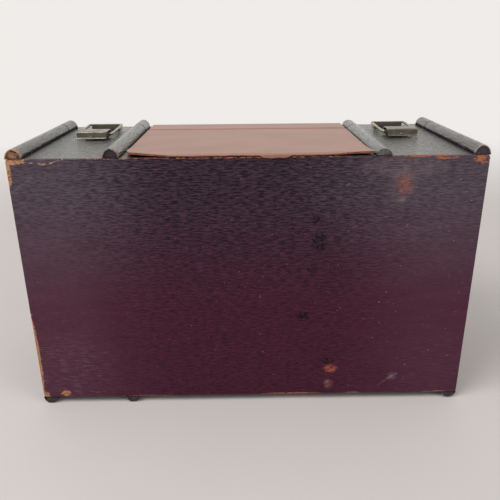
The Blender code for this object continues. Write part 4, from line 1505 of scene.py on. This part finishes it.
def felt_pad():
    """A crowned felt pad, its sides drawn in between the corners, flat where it is glued to the lid."""
    low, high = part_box("lid_pad")
    half_x = (high.x - low.x) / 2
    half_z = (high.z - low.z) / 2
    middle = (low + high) / 2
    full = high.y - low.y
    bm = bmesh.new()
    bmesh.ops.create_grid(bm, x_segments=110, y_segments=70, size=1.0)
    for vert in bm.verts:
        across, up = crowd(vert.co.x, 0.6), crowd(vert.co.y, 0.6)
        x = across * (half_x - PAD_DRAW * (1 - up**2))
        z = up * (half_z - PAD_DRAW * (1 - across**2))
        inside = min(half_x * (1 - abs(across)), half_z * (1 - abs(up)))
        rim = math.sqrt(max(0.0, 1 - (1 - min(1.0, inside / PAD_RIM_ROUND)) ** 2))
        thick = PAD_RIM * (0.45 + 0.55 * rim) + (full - PAD_RIM) * smooth_step(0.0, PAD_CROWN_SPAN, inside)
        thick -= PAD_DIMPLE * (0.5 + 0.5 * ripple((x, 0, z), 0.02, 8.0))
        vert.co = (middle.x + x, high.y - thick, middle.z + z)
    verts, edges = grow(bm, [edge for edge in bm.edges if edge.is_boundary])
    for vert in verts:
        vert.co.y = high.y
    bmesh.ops.edgeloop_fill(bm, edges=edges)
    face_out(bm)
    pad = add_piece(bm, "felt_lid_pad", "lid", ["lid_pad"], [FELT])


felt_pad()

# Light, floor and camera

BACKDROP = (0.90, 0.875, 0.85)
BACKDROP_SEEN = 0.96
ROOM_SEEN = 0.30
EVEN_LIGHT = 0.55
ROOM_TURN = (-0.35, 0.45)
FLOOR_DARK = (0.70, 0.665, 0.65)
FLOOR_PALE = (0.74, 0.70, 0.685)
FLOOR_RADIUS = 6.0
FLOOR_FADE = (0.45, 1.5)
FLOOR_DROP = 0.0001
LOOK_BELOW = 0.60
LAMP_AIM = Vector((0, 0, 0.1))
OPENING = (0.94, 0.998)


def seen_ray(recipe):
    """One for camera rays, and one for all rays that show the background, so in gloss and glass too."""
    path = recipe.add("LightPath").outputs
    seen = path["Is Camera Ray"]
    for name in ("Is Glossy Ray", "Is Transmission Ray"):
        seen = recipe.work("MAXIMUM", seen, path[name])
    return path["Is Camera Ray"], seen


def pale_world():
    """Soft even light. Seen in gloss it is a pale backdrop behind the case and a dimmer room before it."""
    recipe = Recipe(bpy.data.worlds.new("soft_studio"), "Background")
    camera_ray, seen = seen_ray(recipe)
    way = recipe.split(recipe.add("TexCoord").outputs["Generated"])
    gloss = recipe.range(way["Y"], ROOM_SEEN, BACKDROP_SEEN, *ROOM_TURN)
    shown = recipe.blend(camera_ray, gloss, BACKDROP_SEEN)
    recipe.set(color=(*BACKDROP, 1.0), strength=recipe.blend(seen, EVEN_LIGHT, shown))
    bpy.context.scene.world = recipe.owner


def floor_finish():
    """A pale finish that keeps the case's shadow and runs into the backdrop further off.

    It opens where the swung lid hangs lower than the feet, and can be looked through from below.
    """
    recipe = Recipe(bpy.data.materials.new("pale_floor"))
    mottle = recipe.noise(recipe.place(), 9, 3.0)
    recipe.set(base_color=recipe.mix(mottle, FLOOR_DARK, FLOOR_PALE), roughness=0.7, ior_level=0.25)
    distance = recipe.add("VectorMath")
    distance.operation = "LENGTH"
    recipe.feed(distance.inputs[0], recipe.place())
    fade = recipe.step(distance.outputs["Value"], *FLOOR_FADE)
    _, seen = seen_ray(recipe)
    glow = recipe.add("Emission", color=(*BACKDROP, 1.0), strength=BACKDROP_SEEN)
    faded = recipe.work("MULTIPLY", fade, seen)
    ground = recipe.cover(faded, recipe.shader.outputs["BSDF"], glow.outputs["Emission"])
    below = recipe.add("AmbientOcclusion", distance=LOOK_BELOW)
    below.inside = True
    below.samples = 16
    under_side = recipe.add("NewGeometry").outputs["Backfacing"]
    solid = recipe.work("SUBTRACT", recipe.step(below.outputs["AO"], *OPENING), under_side)
    clear = recipe.add("BsdfTransparent").outputs["BSDF"]
    recipe.feed(recipe.nodes["Material Output"].inputs["Surface"], recipe.cover(solid, clear, ground))
    return recipe.owner


def pale_floor():
    bm = bmesh.new()
    drop = Matrix.Translation((0, 0, -FLOOR_DROP))
    bmesh.ops.create_circle(bm, cap_ends=True, segments=96, radius=FLOOR_RADIUS, matrix=drop)
    mesh_object(bm, "floor", [floor_finish()])


def soft_lamp(name, place, size, watts, colour):
    """A round lamp aimed at the middle of the case."""
    lamp = bpy.data.lights.new(name, "AREA")
    lamp.shape = "DISK"
    lamp.size = size
    lamp.energy = watts
    lamp.color = colour
    holder = bpy.data.objects.new(name, lamp)
    holder.location = place
    holder.rotation_euler = (LAMP_AIM - Vector(place)).to_track_quat("-Z", "Y").to_euler()
    bpy.context.scene.collection.objects.link(holder)


def add_camera():
    lens = bpy.data.cameras.new("camera")
    lens.lens = CAMERA_LENS
    lens.sensor_width = CAMERA_SENSOR
    camera = bpy.data.objects.new("camera", lens)
    camera.location = CAMERA_PLACE
    camera.rotation_euler = [math.radians(angle) for angle in CAMERA_TURN]
    bpy.context.scene.collection.objects.link(camera)
    bpy.context.scene.camera = camera


pale_world()
pale_floor()
soft_lamp("main_light", place=(-0.9, -0.7, 1.5), size=1.1, watts=16, colour=(1.0, 0.98, 0.95))
soft_lamp("fill_light", place=(1.2, -0.9, 1.1), size=1.2, watts=6, colour=(1.0, 0.99, 0.98))
add_camera()
bpy.context.scene.view_settings.view_transform = "Standard"
